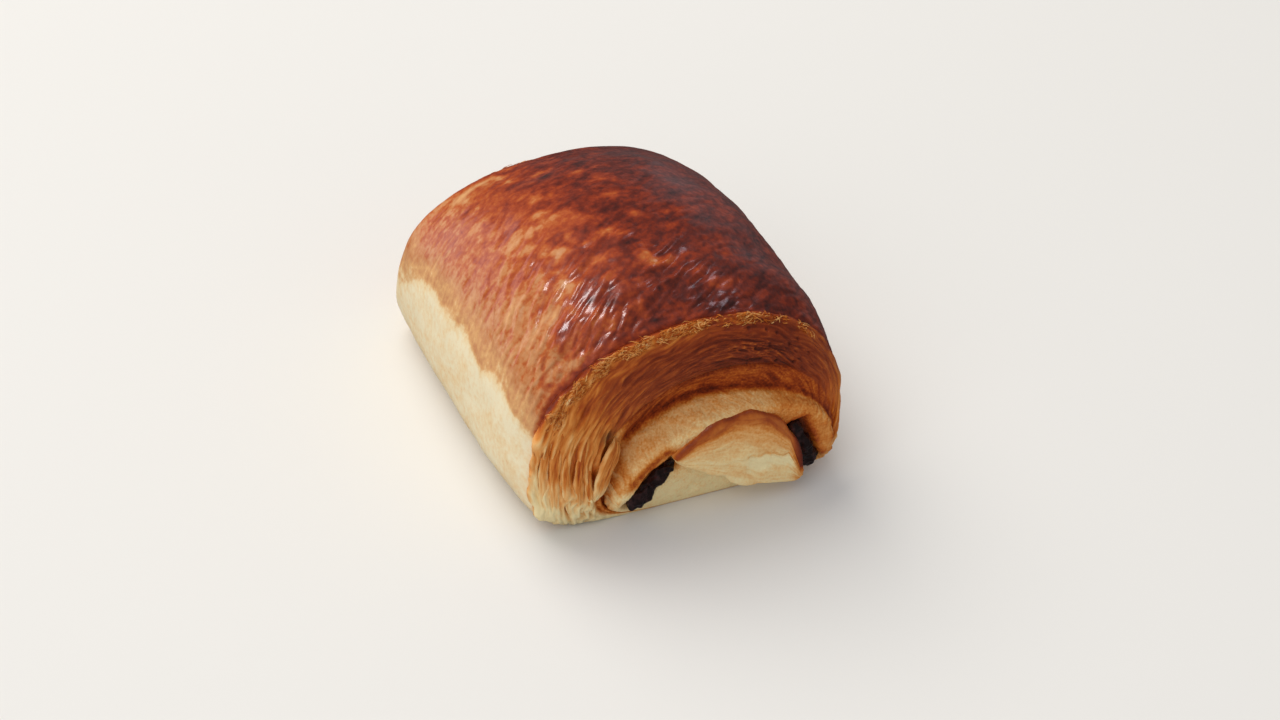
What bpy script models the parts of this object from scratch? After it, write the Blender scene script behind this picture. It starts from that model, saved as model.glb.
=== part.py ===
"""Pain au chocolat: a plump roll of laminated dough with two chocolate batons through it.

Run with: blender --background --python part.py

The roll lies along Y with its flat base on Z = 0. The glazed skin is a domed barrel. At each end the
wrap's cut edge swells out of the skin's rim and turns in to a recess, and the inner roll stands out
of that recess as a shelf. Between the batons the folded middle of the dough sticks out as a tongue.
"""

import math
from dataclasses import dataclass

import bmesh
import bpy
from mathutils import Matrix, Vector

MM = 0.001

# The barrel of glazed dough: its section is widest a third of the way up
HALF_WIDTH = 40.9 * MM
HEIGHT = 56.4 * MM
WIDEST_HEIGHT = 19.8 * MM
DOME_POWER_LEFT = 2.12
DOME_POWER_RIGHT = 2.2
FOOT_POWER = 6.0
FLAT_BASE_BELOW = 1.4 * MM
HALF_LENGTH = 48.2 * MM  # where the barrel's plan would close to a point
CROWN = 0.235  # share of the height that the top has lost there
LEAN = 0.10  # how far the ends lean in, per unit of height above the widest part
FOOT_HEIGHT = 9.0 * MM  # below this the rings of an end draw in to its foot

SEGMENTS = 32
BARREL_SHARES = (0.95, 0.72, 0.4, 0.05, -0.3, -0.64, -0.92)


@dataclass(frozen=True)
class Edge:
    """A lopsided superellipse in the plane of an end: its centre, its reach each way, its powers."""

    x: float
    z: float
    left: float
    right: float
    top: float
    bottom: float
    left_power: float
    right_power: float


@dataclass(frozen=True)
class End:
    """One end of the roll: which way it faces, how blunt it is and how far each ring reaches."""

    side: int
    plan_power: float
    rim: float
    crest: float
    belly: float
    lip: float
    fold: float
    cut: float
    face: float
    foot: float
    tongue: float


# The wrap's inner lip, the foot of the shelf in the recess, and the inner roll's cut edge
LIP = Edge(7.0 * MM, 10.5 * MM, 29.0 * MM, 29.5 * MM, 24.8 * MM, 10.3 * MM, 1.9, 2.1)
FOLD = Edge(6.0 * MM, 9.5 * MM, 27.0 * MM, 30.0 * MM, 18.3 * MM, 9.2 * MM, 1.8, 2.3)
CUT = Edge(9.0 * MM, 8.5 * MM, 28.6 * MM, 27.0 * MM, 16.6 * MM, 8.2 * MM, 1.7, 2.6)
EDGE_FOOT_POWER = 5.0

# Where the other rings of an end lie: shares of the way in from the rim to the lip, from the lip to
# the fold and from the fold to the cut edge, and the cut edge shrunk about its own centre
RIDGE_SHARE = 0.06
CREST_SHARE = 0.15
SHOULDER_SHARE = 0.34
BELLY_SHARE = 0.68
UNDERCUT_SHARE = 0.35
SLOPE_SHARE = 0.5
FACE_SCALES = (0.9, 0.5)
RIDGE_RISE = 0.15  # share of the step from rim to crest that the ridge has risen
RECESS_CLOSED_AT = math.radians(20.0)
RECESS_OPENING = 2.2  # how soon the recess is fully open away from there

FRONT = End(
    side=-1,
    plan_power=5.0,
    rim=34.8 * MM,
    crest=36.6 * MM,
    belly=39.8 * MM,
    lip=39.2 * MM,
    fold=34.2 * MM,
    cut=41.6 * MM,
    face=39.4 * MM,
    foot=38.8 * MM,
    tongue=46.4 * MM,
)
BACK = End(
    side=1,
    plan_power=7.5,
    rim=39.0 * MM,
    crest=40.8 * MM,
    belly=44.4 * MM,
    lip=43.4 * MM,
    fold=39.0 * MM,
    cut=43.0 * MM,
    face=41.4 * MM,
    foot=42.0 * MM,
    tongue=46.4 * MM,
)

# The tongue: the folded dough between the batons, an outline that leans out at its foot
TONGUE_OUTLINE = (
    (-7.2, 16.4),
    (-1.5, 20.6),
    (8.0, 24.2),
    (16.5, 23.0),
    (22.4, 16.8),
    (25.6, 8.0),
    (25.2, 4.2),
    (15.0, 6.2),
    (6.0, 10.4),
    (-1.0, 13.8),
)
TONGUE_ROUNDING = 1.2 * MM
TONGUE_LENGTH = 16.0 * MM
TONGUE_LEAN = 0.2  # how far its foot stands out, per unit of height

# The chocolate batons, softened flat bars that run the length of the roll
BATON_WIDTH = 14.6 * MM
BATON_THICKNESS = 4.8 * MM
BATON_FRONT_REACH = 41.6 * MM
BATON_BACK_REACH = 43.2 * MM
BATON_ROUNDING = 1.4 * MM
BATON_WANDER = 0.5 * MM  # how far the softened bar strays from straight
BATON_STEPS = 12
BATONS = {
    "chocolate_baton_left": {"centre": (-10.6 * MM, 9.9 * MM), "slope": math.radians(54.0)},
    "chocolate_baton_right": {"centre": (28.3 * MM, 11.0 * MM), "slope": math.radians(111.0)},
}
CHANNEL_GAP = 0.3 * MM
CHANNEL_OVERRUN = 8.0 * MM

CRUST_COLOUR = (0.42, 0.13, 0.035, 1.0)
CHOCOLATE_COLOUR = (0.035, 0.014, 0.010, 1.0)


def clear_scene():
    """Remove what the startup file holds."""
    for obj in list(bpy.data.objects):
        bpy.data.objects.remove(obj)


def new_collection(name):
    """A collection of that name, linked to the scene."""
    collection = bpy.data.collections.new(name)
    bpy.context.scene.collection.children.link(collection)
    return collection


def new_object(name, mesh, collection):
    """An object that shows the mesh, in the collection."""
    obj = bpy.data.objects.new(name, mesh)
    collection.objects.link(obj)
    return obj


def plain_material(name, colour, roughness):
    """A Principled material of one colour."""
    material = bpy.data.materials.new(name)
    material.use_nodes = True
    shader = material.node_tree.nodes["Principled BSDF"]
    shader.inputs["Base Color"].default_value = colour
    shader.inputs["Roughness"].default_value = roughness
    shader.inputs["Metallic"].default_value = 0.0
    return material


def superellipse_radius(across, up, power):
    """Distance from the centre to a unit superellipse, in the direction (across, up)."""
    return (abs(across) ** power + abs(up) ** power) ** (-1 / power)


def skin_point(end, reach, angle):
    """Point (x, z) of the glazed skin at that distance from the middle, at that angle from +X."""
    share = abs(reach) / HALF_LENGTH
    taper = (1 - share**end.plan_power) ** (1 / end.plan_power)
    across, up = math.cos(angle), math.sin(angle)
    dome_power = DOME_POWER_RIGHT if across > 0 else DOME_POWER_LEFT
    radius = superellipse_radius(across, up, dome_power if up > 0 else FOOT_POWER)
    dome = HEIGHT * (1 - CROWN * share**2) - WIDEST_HEIGHT
    x = HALF_WIDTH * taper * radius * across
    z = WIDEST_HEIGHT + (dome * taper if up > 0 else WIDEST_HEIGHT) * radius * up
    return x, (0.0 if z < FLAT_BASE_BELOW else z)


def edge_point(edge, angle, scale=1.0):
    """Point (x, z) of an edge, shrunk about its centre by the scale."""
    across, up = math.cos(angle), math.sin(angle)
    power = EDGE_FOOT_POWER if up < 0 else (edge.left_power if across < 0 else edge.right_power)
    radius = scale * superellipse_radius(across, up, power)
    x = edge.x + (edge.left if across < 0 else edge.right) * radius * across
    z = edge.z + (edge.bottom if up < 0 else edge.top) * radius * up
    return x, z


def between(start, end, share):
    """The point (x, z) that share of the way from start to end."""
    return tuple(a + (b - a) * share for a, b in zip(start, end))


def openness(angle):
    """How open the recess is there: fully over the top and the left, closed low on the right."""
    return min(1.0, RECESS_OPENING * (0.5 - 0.5 * math.cos(angle - RECESS_CLOSED_AT)))


def leaning(reach, z):
    """The reach at that height: the end leans in above the barrel's widest part and out below."""
    return reach - LEAN * (z - WIDEST_HEIGHT)


def footed(end, reach, z):
    """The reach at that height of a ring that draws in to the end's foot near the ground."""
    share = min(1.0, z / FOOT_HEIGHT)
    return end.foot + (leaning(reach, z) - end.foot) * share


def end_column(end, angle):
    """Points of one end from its rim inwards at an angle, as (x, reach, z)."""
    rim = skin_point(end, end.rim, angle)
    lip = edge_point(LIP, angle)
    fold = edge_point(FOLD, angle)
    cut = edge_point(CUT, angle)
    fold_reach = end.lip + (end.fold - end.lip) * openness(angle)
    skin_rings = (
        (rim, end.rim),
        (between(rim, lip, RIDGE_SHARE), end.rim + RIDGE_RISE * (end.crest - end.rim)),
        (between(rim, lip, CREST_SHARE), end.crest),
    )
    inner_rings = (
        (between(rim, lip, SHOULDER_SHARE), (end.crest + 2 * end.belly) / 3),
        (between(rim, lip, BELLY_SHARE), end.belly),
        (lip, end.lip),
        (between(lip, fold, UNDERCUT_SHARE), (end.lip + fold_reach) / 2),
        (fold, fold_reach),
        (between(fold, cut, SLOPE_SHARE), (fold_reach + end.cut) / 2),
        (cut, end.cut),
        (edge_point(CUT, angle, FACE_SCALES[0]), end.cut),
        (edge_point(CUT, angle, FACE_SCALES[1]), end.face),
    )
    column = [(x, leaning(reach, z), z) for (x, z), reach in skin_rings]
    return column + [(x, footed(end, reach, z), z) for (x, z), reach in inner_rings]


def end_loops(end, angles):
    """The end's closed loops of points, from the rim inwards."""
    columns = [end_column(end, angle) for angle in angles]
    return [[Vector((x, end.side * reach, z)) for x, reach, z in loop] for loop in zip(*columns)]


def barrel_loop(share, angles):
    """A loop of the barrel, at that share of the way from the middle to the back end's rim."""
    end = BACK if share > 0 else FRONT
    loop = []
    for angle in angles:
        x, z = skin_point(end, share * end.rim, angle)
        y = share * leaning(end.rim, z)
        loop.append(Vector((x, y, z)))
    return loop


def dough_cage():
    """Coarse closed cage of the whole roll: end, barrel, end, joined loop to loop."""
    angles = [2 * math.pi * i / SEGMENTS for i in range(SEGMENTS)]
    loops = list(reversed(end_loops(FRONT, angles)))
    loops += [barrel_loop(-share, angles) for share in BARREL_SHARES]
    loops += end_loops(BACK, angles)

    mesh = bmesh.new()
    corners = [[mesh.verts.new(point) for point in loop] for loop in loops]
    for near, far in zip(corners, corners[1:]):
        for i in range(SEGMENTS):
            j = (i + 1) % SEGMENTS
            mesh.faces.new((near[i], near[j], far[j], far[i]))
    for loop, end in ((corners[0], FRONT), (corners[-1], BACK)):
        pole = mesh.verts.new((CUT.x, end.side * end.face, CUT.z))
        for i in range(SEGMENTS):
            mesh.faces.new((loop[i], loop[(i + 1) % SEGMENTS], pole))
    bmesh.ops.recalc_face_normals(mesh, faces=mesh.faces)
    data = bpy.data.meshes.new("dough")
    mesh.to_mesh(data)
    mesh.free()
    return data


def outline_curve(name, points, collection):
    """A flat closed curve through the points, extruded and rounded as the tongue is."""
    curve = bpy.data.curves.new(name, "CURVE")
    curve.dimensions = "2D"
    curve.fill_mode = "BOTH"
    curve.resolution_u = 4
    curve.extrude = TONGUE_LENGTH / 2
    curve.bevel_depth = TONGUE_ROUNDING
    curve.bevel_resolution = 1
    curve.offset = -TONGUE_ROUNDING
    spline = curve.splines.new("BEZIER")
    spline.bezier_points.add(len(points) - 1)
    for knot, (x, z) in zip(spline.bezier_points, points):
        knot.co = (x * MM, z * MM, 0.0)
        knot.handle_left_type = "AUTO"
        knot.handle_right_type = "AUTO"
    spline.use_cyclic_u = True
    return new_object(name, curve, collection)


def tongue(name, end, collection):
    """The folded middle of the dough at one end, as a rounded prism that leans out at its foot."""
    outline = outline_curve(name + "_outline", TONGUE_OUTLINE, collection)
    bpy.context.view_layer.update()
    data = bpy.data.meshes.new_from_object(outline.evaluated_get(bpy.context.evaluated_depsgraph_get()))
    bpy.data.objects.remove(outline)

    mesh = bmesh.new()
    mesh.from_mesh(data)
    bmesh.ops.remove_doubles(mesh, verts=mesh.verts, dist=0.00001)
    bmesh.ops.rotate(mesh, matrix=Matrix.Rotation(math.radians(90), 3, "X"), verts=mesh.verts)
    for vert in mesh.verts:
        vert.co.y -= end.side * TONGUE_LEAN * vert.co.z
    tip = max(end.side * vert.co.y for vert in mesh.verts)
    bmesh.ops.translate(mesh, vec=(0.0, end.side * (end.tongue - tip), 0.0), verts=mesh.verts)
    bmesh.ops.recalc_face_normals(mesh, faces=mesh.faces)
    mesh.to_mesh(data)
    mesh.free()
    return new_object(name, data, collection)


def baton_bar(name, place, gap, overrun, collection):
    """A rounded bar along Y that wanders a little, grown by the gap and lengthened by the overrun."""
    bar_length = BATON_FRONT_REACH + BATON_BACK_REACH
    full_length = bar_length + 2 * overrun
    mesh = bmesh.new()
    bmesh.ops.create_cube(mesh, size=1.0)
    size = Vector((BATON_WIDTH + 2 * gap, full_length, BATON_THICKNESS + 2 * gap))
    bmesh.ops.scale(mesh, vec=size, verts=mesh.verts)
    long_edges = [e for e in mesh.edges if abs(e.verts[0].co.y - e.verts[1].co.y) > bar_length / 2]
    bmesh.ops.bevel(
        mesh, geom=long_edges, offset=BATON_ROUNDING + gap, segments=3, profile=0.5, affect="EDGES"
    )
    for step in range(1, BATON_STEPS):
        cut_at = (step / BATON_STEPS - 0.5) * bar_length
        geometry = mesh.verts[:] + mesh.edges[:] + mesh.faces[:]
        bmesh.ops.bisect_plane(mesh, geom=geometry, plane_co=(0, cut_at, 0), plane_no=(0, 1, 0))
    for vert in mesh.verts:
        along = max(-1.0, min(1.0, 2 * vert.co.y / bar_length))
        vert.co.z += BATON_WANDER * math.cos(1.5 * math.pi * along)
    bmesh.ops.rotate(mesh, matrix=Matrix.Rotation(-place["slope"], 3, "Y"), verts=mesh.verts)
    x, z = place["centre"]
    centre = Vector((x, (BATON_BACK_REACH - BATON_FRONT_REACH) / 2, z))
    bmesh.ops.translate(mesh, vec=centre, verts=mesh.verts)
    bmesh.ops.recalc_face_normals(mesh, faces=mesh.faces)
    data = bpy.data.meshes.new(name)
    mesh.to_mesh(data)
    mesh.free()
    return new_object(name, data, collection)


def add_boolean(obj, operation, other):
    """An EXACT Boolean modifier on the object, with the other one kept as a hidden helper."""
    modifier = obj.modifiers.new(other.name, "BOOLEAN")
    modifier.operation = operation
    modifier.solver = "EXACT"
    modifier.object = other
    other.hide_render = True
    other.display_type = "WIRE"


def build_dough(parts, helpers):
    """The dough: the smoothed cage with a tongue joined to each end and a channel for each baton."""
    dough = new_object("dough", dough_cage(), parts)
    smooth = dough.modifiers.new("smooth", "SUBSURF")
    smooth.levels = 1
    smooth.render_levels = 1
    for name, end in (("tongue_front", FRONT), ("tongue_back", BACK)):
        add_boolean(dough, "UNION", tongue(name, end, helpers))
    for name, place in BATONS.items():
        channel = baton_bar(name + "_channel", place, CHANNEL_GAP, CHANNEL_OVERRUN, helpers)
        add_boolean(dough, "DIFFERENCE", channel)
    dough.data.materials.append(plain_material("baked_dough", CRUST_COLOUR, 0.35))
    for polygon in dough.data.polygons:
        polygon.use_smooth = True


def build_batons(parts):
    """The two chocolate batons in their channels."""
    chocolate = plain_material("dark_chocolate", CHOCOLATE_COLOUR, 0.4)
    for name, place in BATONS.items():
        bar = baton_bar(name, place, 0.0, 0.0, parts)
        bar.data.materials.append(chocolate)


def main():
    """Build the pain au chocolat."""
    clear_scene()
    parts = new_collection("pain_au_chocolat")
    helpers = new_collection("helpers")
    build_dough(parts, helpers)
    build_batons(parts)


main()
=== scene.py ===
"""A pain au chocolat: the looks of a plump roll of laminated dough with two chocolate batons in it.

The roll lies along Y on its flat base, with the end that faces the camera at -Y. Lengths are in
millimetres until a mesh is written, and angles go round the roll from +X up over the top.

Numbers that stand beside a turn are degrees from straight up, above 0 on the left. Numbers beside
x, y or z are millimetres, those beside a row are rows of a net, and a tone runs from 0, where the
dough is cream, to 1, where it is nearly black.
"""

import logging
import math
from dataclasses import dataclass, field
from enum import Enum
from functools import partial
from typing import Callable, Optional, Sequence

import bpy
import numpy as np
from mathutils import Matrix, Vector


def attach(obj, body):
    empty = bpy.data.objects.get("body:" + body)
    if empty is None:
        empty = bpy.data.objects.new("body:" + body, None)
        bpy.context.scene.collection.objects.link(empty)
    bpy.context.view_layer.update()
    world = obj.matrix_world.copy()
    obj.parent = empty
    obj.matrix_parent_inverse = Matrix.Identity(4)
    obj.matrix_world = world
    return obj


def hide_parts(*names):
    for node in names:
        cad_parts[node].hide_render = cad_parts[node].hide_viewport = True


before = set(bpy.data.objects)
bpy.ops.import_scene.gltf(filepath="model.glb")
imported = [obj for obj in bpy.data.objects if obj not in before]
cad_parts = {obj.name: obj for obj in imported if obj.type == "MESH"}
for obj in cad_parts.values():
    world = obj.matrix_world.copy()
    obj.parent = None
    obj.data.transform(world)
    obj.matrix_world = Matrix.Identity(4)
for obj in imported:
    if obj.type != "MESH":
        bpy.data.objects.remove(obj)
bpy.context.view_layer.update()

Array = np.ndarray
Point = tuple[float, float]

MM = 0.001
SEAM = 1e-7  # metres: only what lies in one place is merged
NOISE_TABLE = 256
OCTAVES = 2
OCTAVE_SHIFT = 37.0  # millimetres between the places where two octaves are read
WAVE_HEIGHT = 1.6  # brings the highest waves to about 1
BODY = "root"
DOUGH_NODE = "dough"
POLE_DEPTH = 13.0  # millimetres from a rim to the hidden pole inside the roll
LOG = logging.getLogger("pain_au_chocolat")


class Slot(Enum):
    """The record's material slots."""

    DOUGH = "baked_dough"
    CHOCOLATE = "dark_chocolate"


class Facing(Enum):
    """Which end of the roll: the sign of the Y it faces."""

    FRONT = -1
    BACK = 1


# ---------------------------------------------------------------------------------------------
# Small mathematics
# ---------------------------------------------------------------------------------------------


def ease(low: Array | float, high: Array | float, value: Array) -> Array:
    """A smooth step from 0 at low to 1 at high.

    Args:
        low: where the step starts.
        high: where the step ends, which may be less than low for a falling step.
        value: where it is read.

    Returns:
        The step at each value.
    """
    share = np.clip((value - low) / (high - low), 0.0, 1.0)
    return share * share * (3.0 - 2.0 * share)


def hump(centre: Array | float, width: float, value: Array) -> Array:
    """A smooth bump of height 1 at the centre, that has fallen to 0.37 at the width."""
    return np.exp(-(((value - centre) / width) ** 2))


def bearing(angles: Array, centre: float = 90.0) -> Array:
    """Degrees from the centre's bearing, from -180 to 180, for angles in radians.

    Args:
        angles: the angles, which go round from +X up over the top.
        centre: the bearing that is called 0, straight up where none is given.

    Returns:
        The bearing of each angle, above 0 on the left of the centre.
    """
    return (np.degrees(angles) - centre + 180.0) % 360.0 - 180.0


def profile(stops: Sequence[Point], value: Array) -> Array:
    """Straight lines between stops.

    Args:
        stops: pairs of a place and the value there, in rising order of place.
        value: where the lines are read.

    Returns:
        The lines' height at each value.
    """
    return np.interp(value, *zip(*stops))


def mixed(low: Array | float, high: Array | float, share: Array) -> Array:
    """The first where the share is 0, the second where it is 1, and their mixture between."""
    return low * (1 - share) + high * share


def spline_weights(knots: int, places: Array, closed: bool) -> Array:
    """Weights of a uniform cubic B-spline.

    Args:
        knots: how many control points there are.
        places: where the curve is read, counted in control points.
        closed: whether the last control point is followed by the first.

    Returns:
        One row for each place and one column for each control point.
    """
    whole = np.floor(places).astype(int)
    t = places - whole
    cubic = (
        (1 - t) ** 3,
        3 * t**3 - 6 * t**2 + 4,
        -3 * t**3 + 3 * t**2 + 3 * t + 1,
        t**3,
    )
    weights = np.zeros((len(places), knots))
    for step, share in enumerate(cubic):
        index = whole + step - 1
        index = index % knots if closed else np.clip(index, 0, knots - 1)
        np.add.at(weights, (np.arange(len(places)), index), share / 6)
    return weights


class Noise:
    """Seeded gradient noise and cells, read at points in millimetres."""

    def __init__(self, seed: int) -> None:
        """Draws the noise's own tables from the seed."""
        draw = np.random.default_rng(seed)
        self.order = draw.permutation(NOISE_TABLE)
        slopes = draw.normal(size=(NOISE_TABLE, 3))
        self.slopes = slopes / np.linalg.norm(slopes, axis=1, keepdims=True)
        self.spots = draw.random((NOISE_TABLE, 3))

    def _pick(self, cell: Array) -> Array:
        """The table row of each whole-numbered cell."""
        first = self.order[cell[..., 0] % NOISE_TABLE]
        second = self.order[(first + cell[..., 1]) % NOISE_TABLE]
        return self.order[(second + cell[..., 2]) % NOISE_TABLE]

    def wave(self, points: Array, size: float | Sequence[float]) -> Array:
        """One octave of noise.

        Args:
            points: where it is read, with a last axis of three.
            size: how large its features are, along each axis or along all.

        Returns:
            Values from about -1 to 1.
        """
        place = (points / np.asarray(size, dtype=float)).reshape(-1, 3)
        cell = np.floor(place).astype(int)
        part = place - cell
        fade = part**3 * (part * (part * 6 - 15) + 10)
        ways = (1 - fade, fade)
        total = np.zeros(len(place))
        for i, j, k in np.ndindex(2, 2, 2):
            share = ways[i][:, 0] * ways[j][:, 1] * ways[k][:, 2]
            slope = self.slopes[self._pick(cell + (i, j, k))]
            total += share * np.einsum("na,na->n", slope, part - (i, j, k))
        return WAVE_HEIGHT * total.reshape(points.shape[:-1])

    def clouds(self, points: Array, size: float | Sequence[float]) -> Array:
        """Octaves of noise, each half the size and half the height of the one before.

        Args:
            points: where they are read, with a last axis of three.
            size: how large the largest features are, along each axis or along all.

        Returns:
            Values from about -1.5 to 1.5, and mostly between -0.5 and 0.5.
        """
        scale = np.asarray(size, dtype=float)
        return sum(
            self.wave(points + OCTAVE_SHIFT * level, scale / 2**level) / 2**level
            for level in range(OCTAVES)
        )

    def creases(self, points: Array, size: float | Sequence[float], sharpness: int) -> Array:
        """Winding lines of height 1 on a ground that is nearly 0.

        Args:
            points: where they are read, with a last axis of three.
            size: how far apart the lines are, along each axis or along all.
            sharpness: how thin they are.

        Returns:
            The height at each point.
        """
        return (1 - np.abs(self.clouds(points, size))) ** sharpness

    def cords(self, points: Array, size: float | Sequence[float]) -> Array:
        """Winding cords side by side, which are 1 along a crest and below 0 in the valleys."""
        return 1 - 2.3 * np.abs(self.clouds(points, size))

    def cells(self, points: Array, size: float | Sequence[float]) -> tuple[Array, Array]:
        """Distances to the nearest and to the second nearest of scattered spots.

        Args:
            points: where they are read, with a last axis of three.
            size: how far apart the spots are, along each axis or along all.

        Returns:
            The two distances, in units of the size.
        """
        place = points / np.asarray(size, dtype=float)
        cell = np.floor(place).astype(int)
        nearest = np.full(place.shape[:-1], 9.0)
        second = nearest.copy()
        for step in np.ndindex(3, 3, 3):
            other = cell + np.array(step) - 1
            away = np.linalg.norm(other + self.spots[self._pick(other)] - place, axis=-1)
            second = np.minimum(second, np.maximum(nearest, away))
            nearest = np.minimum(nearest, away)
        return nearest, second


# ---------------------------------------------------------------------------------------------
# Moulded pieces
# ---------------------------------------------------------------------------------------------


def deselect_all() -> None:
    """Nothing is selected, so that an operator acts on nothing by chance."""
    if bpy.context.object is not None and bpy.context.object.mode != "OBJECT":
        bpy.ops.object.mode_set(mode="OBJECT")
    bpy.ops.object.select_all(action="DESELECT")


def set_attributes(mesh: bpy.types.Mesh, values: dict[str, Array]) -> None:
    """Keeps values on a mesh's vertices, where the materials read them by their names.

    Args:
        mesh: the mesh.
        values: under each name, a number or a vector for each vertex.
    """
    for key, rows in values.items():
        vector = rows.ndim == 2
        layer = mesh.attributes.new(key, "FLOAT_VECTOR" if vector else "FLOAT", "POINT")
        layer.data.foreach_set("vector" if vector else "value", rows.ravel())


def finish_piece(
    piece: bpy.types.Object,
    material: bpy.types.Material,
    node: str = DOUGH_NODE,
) -> bpy.types.Object:
    """Gives a piece its material and its body, hides the solid that it stands for, and reports it.

    Args:
        piece: the finished object, at the origin.
        material: its finish.
        node: the solid that the piece stands for.

    Returns:
        The piece.
    """
    piece.data.materials.clear()
    piece.data.materials.append(material)
    piece.data.shade_smooth()
    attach(piece, BODY)
    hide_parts(node)
    triangles = sum(len(face.vertices) - 2 for face in piece.data.polygons)
    LOG.info("%s: %d triangles, %s", piece.name, triangles, material.name)
    return piece


@dataclass
class Mould:
    """A closed form whose poles lie on Y, worked out ring by ring from -Y to +Y.

    The form is a net of control points, one loop of them for each row, that is smoothed both ways.
    The densities say how closely the mesh's points lie at each row and at each point of a loop.
    """

    name: str
    segments: int
    rings: int
    net: Array
    row_density: Sequence[float]
    loop_density: Sequence[float]

    def __post_init__(self) -> None:
        """Reads the net at evenly spread rings and segments."""
        rows, around = self.net.shape[:2]
        self.row_places = self._spread(rows, self.rings + 1, self.row_density, False)
        self.loop_places = self._spread(around, self.segments, self.loop_density, True)
        down = spline_weights(rows, self.row_places, False)
        across = spline_weights(around, self.loop_places, True)
        self.points = np.einsum("mr,rac,sa->msc", down, self.net, across)
        self.angles = np.broadcast_to(
            2 * math.pi * self.loop_places / around, (self.rings + 1, self.segments)
        )

    def _spread(self, knots: int, count: int, density: Sequence[float], closed: bool) -> Array:
        """Places that are evenly spaced along the form, and closer where the density is higher.

        Args:
            knots: how many control points lie along that way.
            count: how many places there are.
            density: how closely they lie at each control point.
            closed: whether the way is a loop.

        Returns:
            The places, counted in control points.
        """
        span = knots if closed else knots - 1
        fine = np.linspace(0, span, 40 * span + 1)
        weights = spline_weights(knots, fine, closed)
        way = np.einsum("mk,kac->mac", weights, self.net.swapaxes(0, 1) if closed else self.net)
        steps = np.linalg.norm(np.diff(way, axis=0), axis=-1).mean(axis=1)
        mid = (fine[1:] + fine[:-1]) / 2
        closeness = np.interp(mid, range(span + 1), [*density, density[0]] if closed else density)
        travelled = np.concatenate([[0], np.cumsum(steps * closeness)])
        ends = np.linspace(0, travelled[-1], count, endpoint=not closed)
        return np.interp(ends, travelled, fine)

    def normals(self) -> Array:
        """Outward normals of the form.

        Returns:
            One for each point, of unit length, which at the two poles looks along Y.
        """
        around = np.roll(self.points, -1, axis=1) - np.roll(self.points, 1, axis=1)
        along = np.gradient(self.points, axis=0)
        normal = np.cross(along, around)
        length = np.linalg.norm(normal, axis=-1, keepdims=True)
        normal /= np.maximum(length, 1e-9)
        normal[0] = (0, -1, 0)
        normal[-1] = (0, 1, 0)
        return normal

    def travelled(self, start: float) -> Array:
        """Distance along the form, from ring to ring.

        Args:
            start: the row of the net where the distance is 0.

        Returns:
            The distance at each point, less than 0 before the start.
        """
        steps = np.linalg.norm(np.diff(self.points, axis=0), axis=-1)
        length = np.concatenate([np.zeros((1, self.segments)), np.cumsum(steps, axis=0)])
        ring = int(np.argmin(np.abs(self.row_places - start)))
        return length - length[ring]

    def rows(self) -> Array:
        """The row of the net that each point lies at."""
        return np.broadcast_to(self.row_places[:, None], (self.rings + 1, self.segments))

    def raise_by(self, height: Array, lowest: float = 0.0) -> None:
        """Moves each point along its normal, and the poles with the ring next to them.

        Args:
            height: how far each point moves out.
            lowest: the height over the ground that none goes below.
        """
        height = height.copy()
        height[0] = height[1].mean()
        height[-1] = height[-2].mean()
        self.points = self.points + self.normals() * height[..., None]
        self.points[..., 2] = np.maximum(self.points[..., 2], lowest)

    def press(self, values: dict[str, Array]) -> bpy.types.Object:
        """Makes the piece: a flat grid is rolled up on the form, and its seam and poles are merged.

        Args:
            values: numbers or vectors for each point, which the materials read by their names.

        Returns:
            The new object.
        """
        deselect_all()
        bpy.ops.mesh.primitive_grid_add(
            x_subdivisions=self.segments, y_subdivisions=self.rings, size=2.0
        )
        piece = bpy.context.object
        piece.name = self.name
        piece.data.name = self.name
        count = len(piece.data.vertices)
        place = np.empty(count * 3)
        piece.data.vertices.foreach_get("co", place)
        across, up, _ = place.reshape(count, 3).T
        turn = np.rint((across + 1) / 2 * self.segments).astype(int) % self.segments
        ring = np.rint((1 - up) / 2 * self.rings).astype(int)
        piece.data.vertices.foreach_set("co", (self.points[ring, turn] * MM).ravel())
        set_attributes(piece.data, {key: grid[ring, turn] for key, grid in values.items()})
        bpy.ops.object.mode_set(mode="EDIT")
        bpy.ops.mesh.select_all(action="SELECT")
        bpy.ops.mesh.remove_doubles(threshold=SEAM)
        bpy.ops.object.mode_set(mode="OBJECT")
        return piece


# ---------------------------------------------------------------------------------------------
# The roll's form, which repeats the sizes of its solids
# ---------------------------------------------------------------------------------------------


@dataclass(frozen=True)
class Edge:
    """A lopsided superellipse in the plane of an end: its centre, its reach each way, its powers."""

    x: float
    z: float
    left: float
    right: float
    top: float
    bottom: float
    left_power: float
    right_power: float
    foot_power: float = 5.0

    def at(self, angles: Array, scale: float = 1.0) -> Array:
        """Points of the edge.

        Args:
            angles: the directions they lie in from the edge's centre.
            scale: how far out they lie, where 1 is on the edge.

        Returns:
            One point (x, z) for each angle.
        """
        across, up = np.cos(angles), np.sin(angles)
        side_power = np.where(across < 0, self.left_power, self.right_power)
        radius = scale * superellipse(across, up, np.where(up < 0, self.foot_power, side_power))
        x = self.x + np.where(across < 0, self.left, self.right) * radius * across
        z = self.z + np.where(up < 0, self.bottom, self.top) * radius * up
        return np.stack([x, z], axis=-1)


@dataclass(frozen=True)
class End:
    """One end of the roll: how blunt it is, and how far its edges reach from the roll's middle."""

    facing: Facing
    plan_power: float  # of the superellipse that the roll's sides follow in plan
    rim: float
    crest: float
    belly: float
    lip: float
    fold: float
    cut: float
    face: float
    foot: float
    tongue: float


def superellipse(across: Array, up: Array, power: Array | float) -> Array:
    """Distance from the centre to a unit superellipse, in the direction (across, up)."""
    return (np.abs(across) ** power + np.abs(up) ** power) ** (-1 / power)


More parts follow.
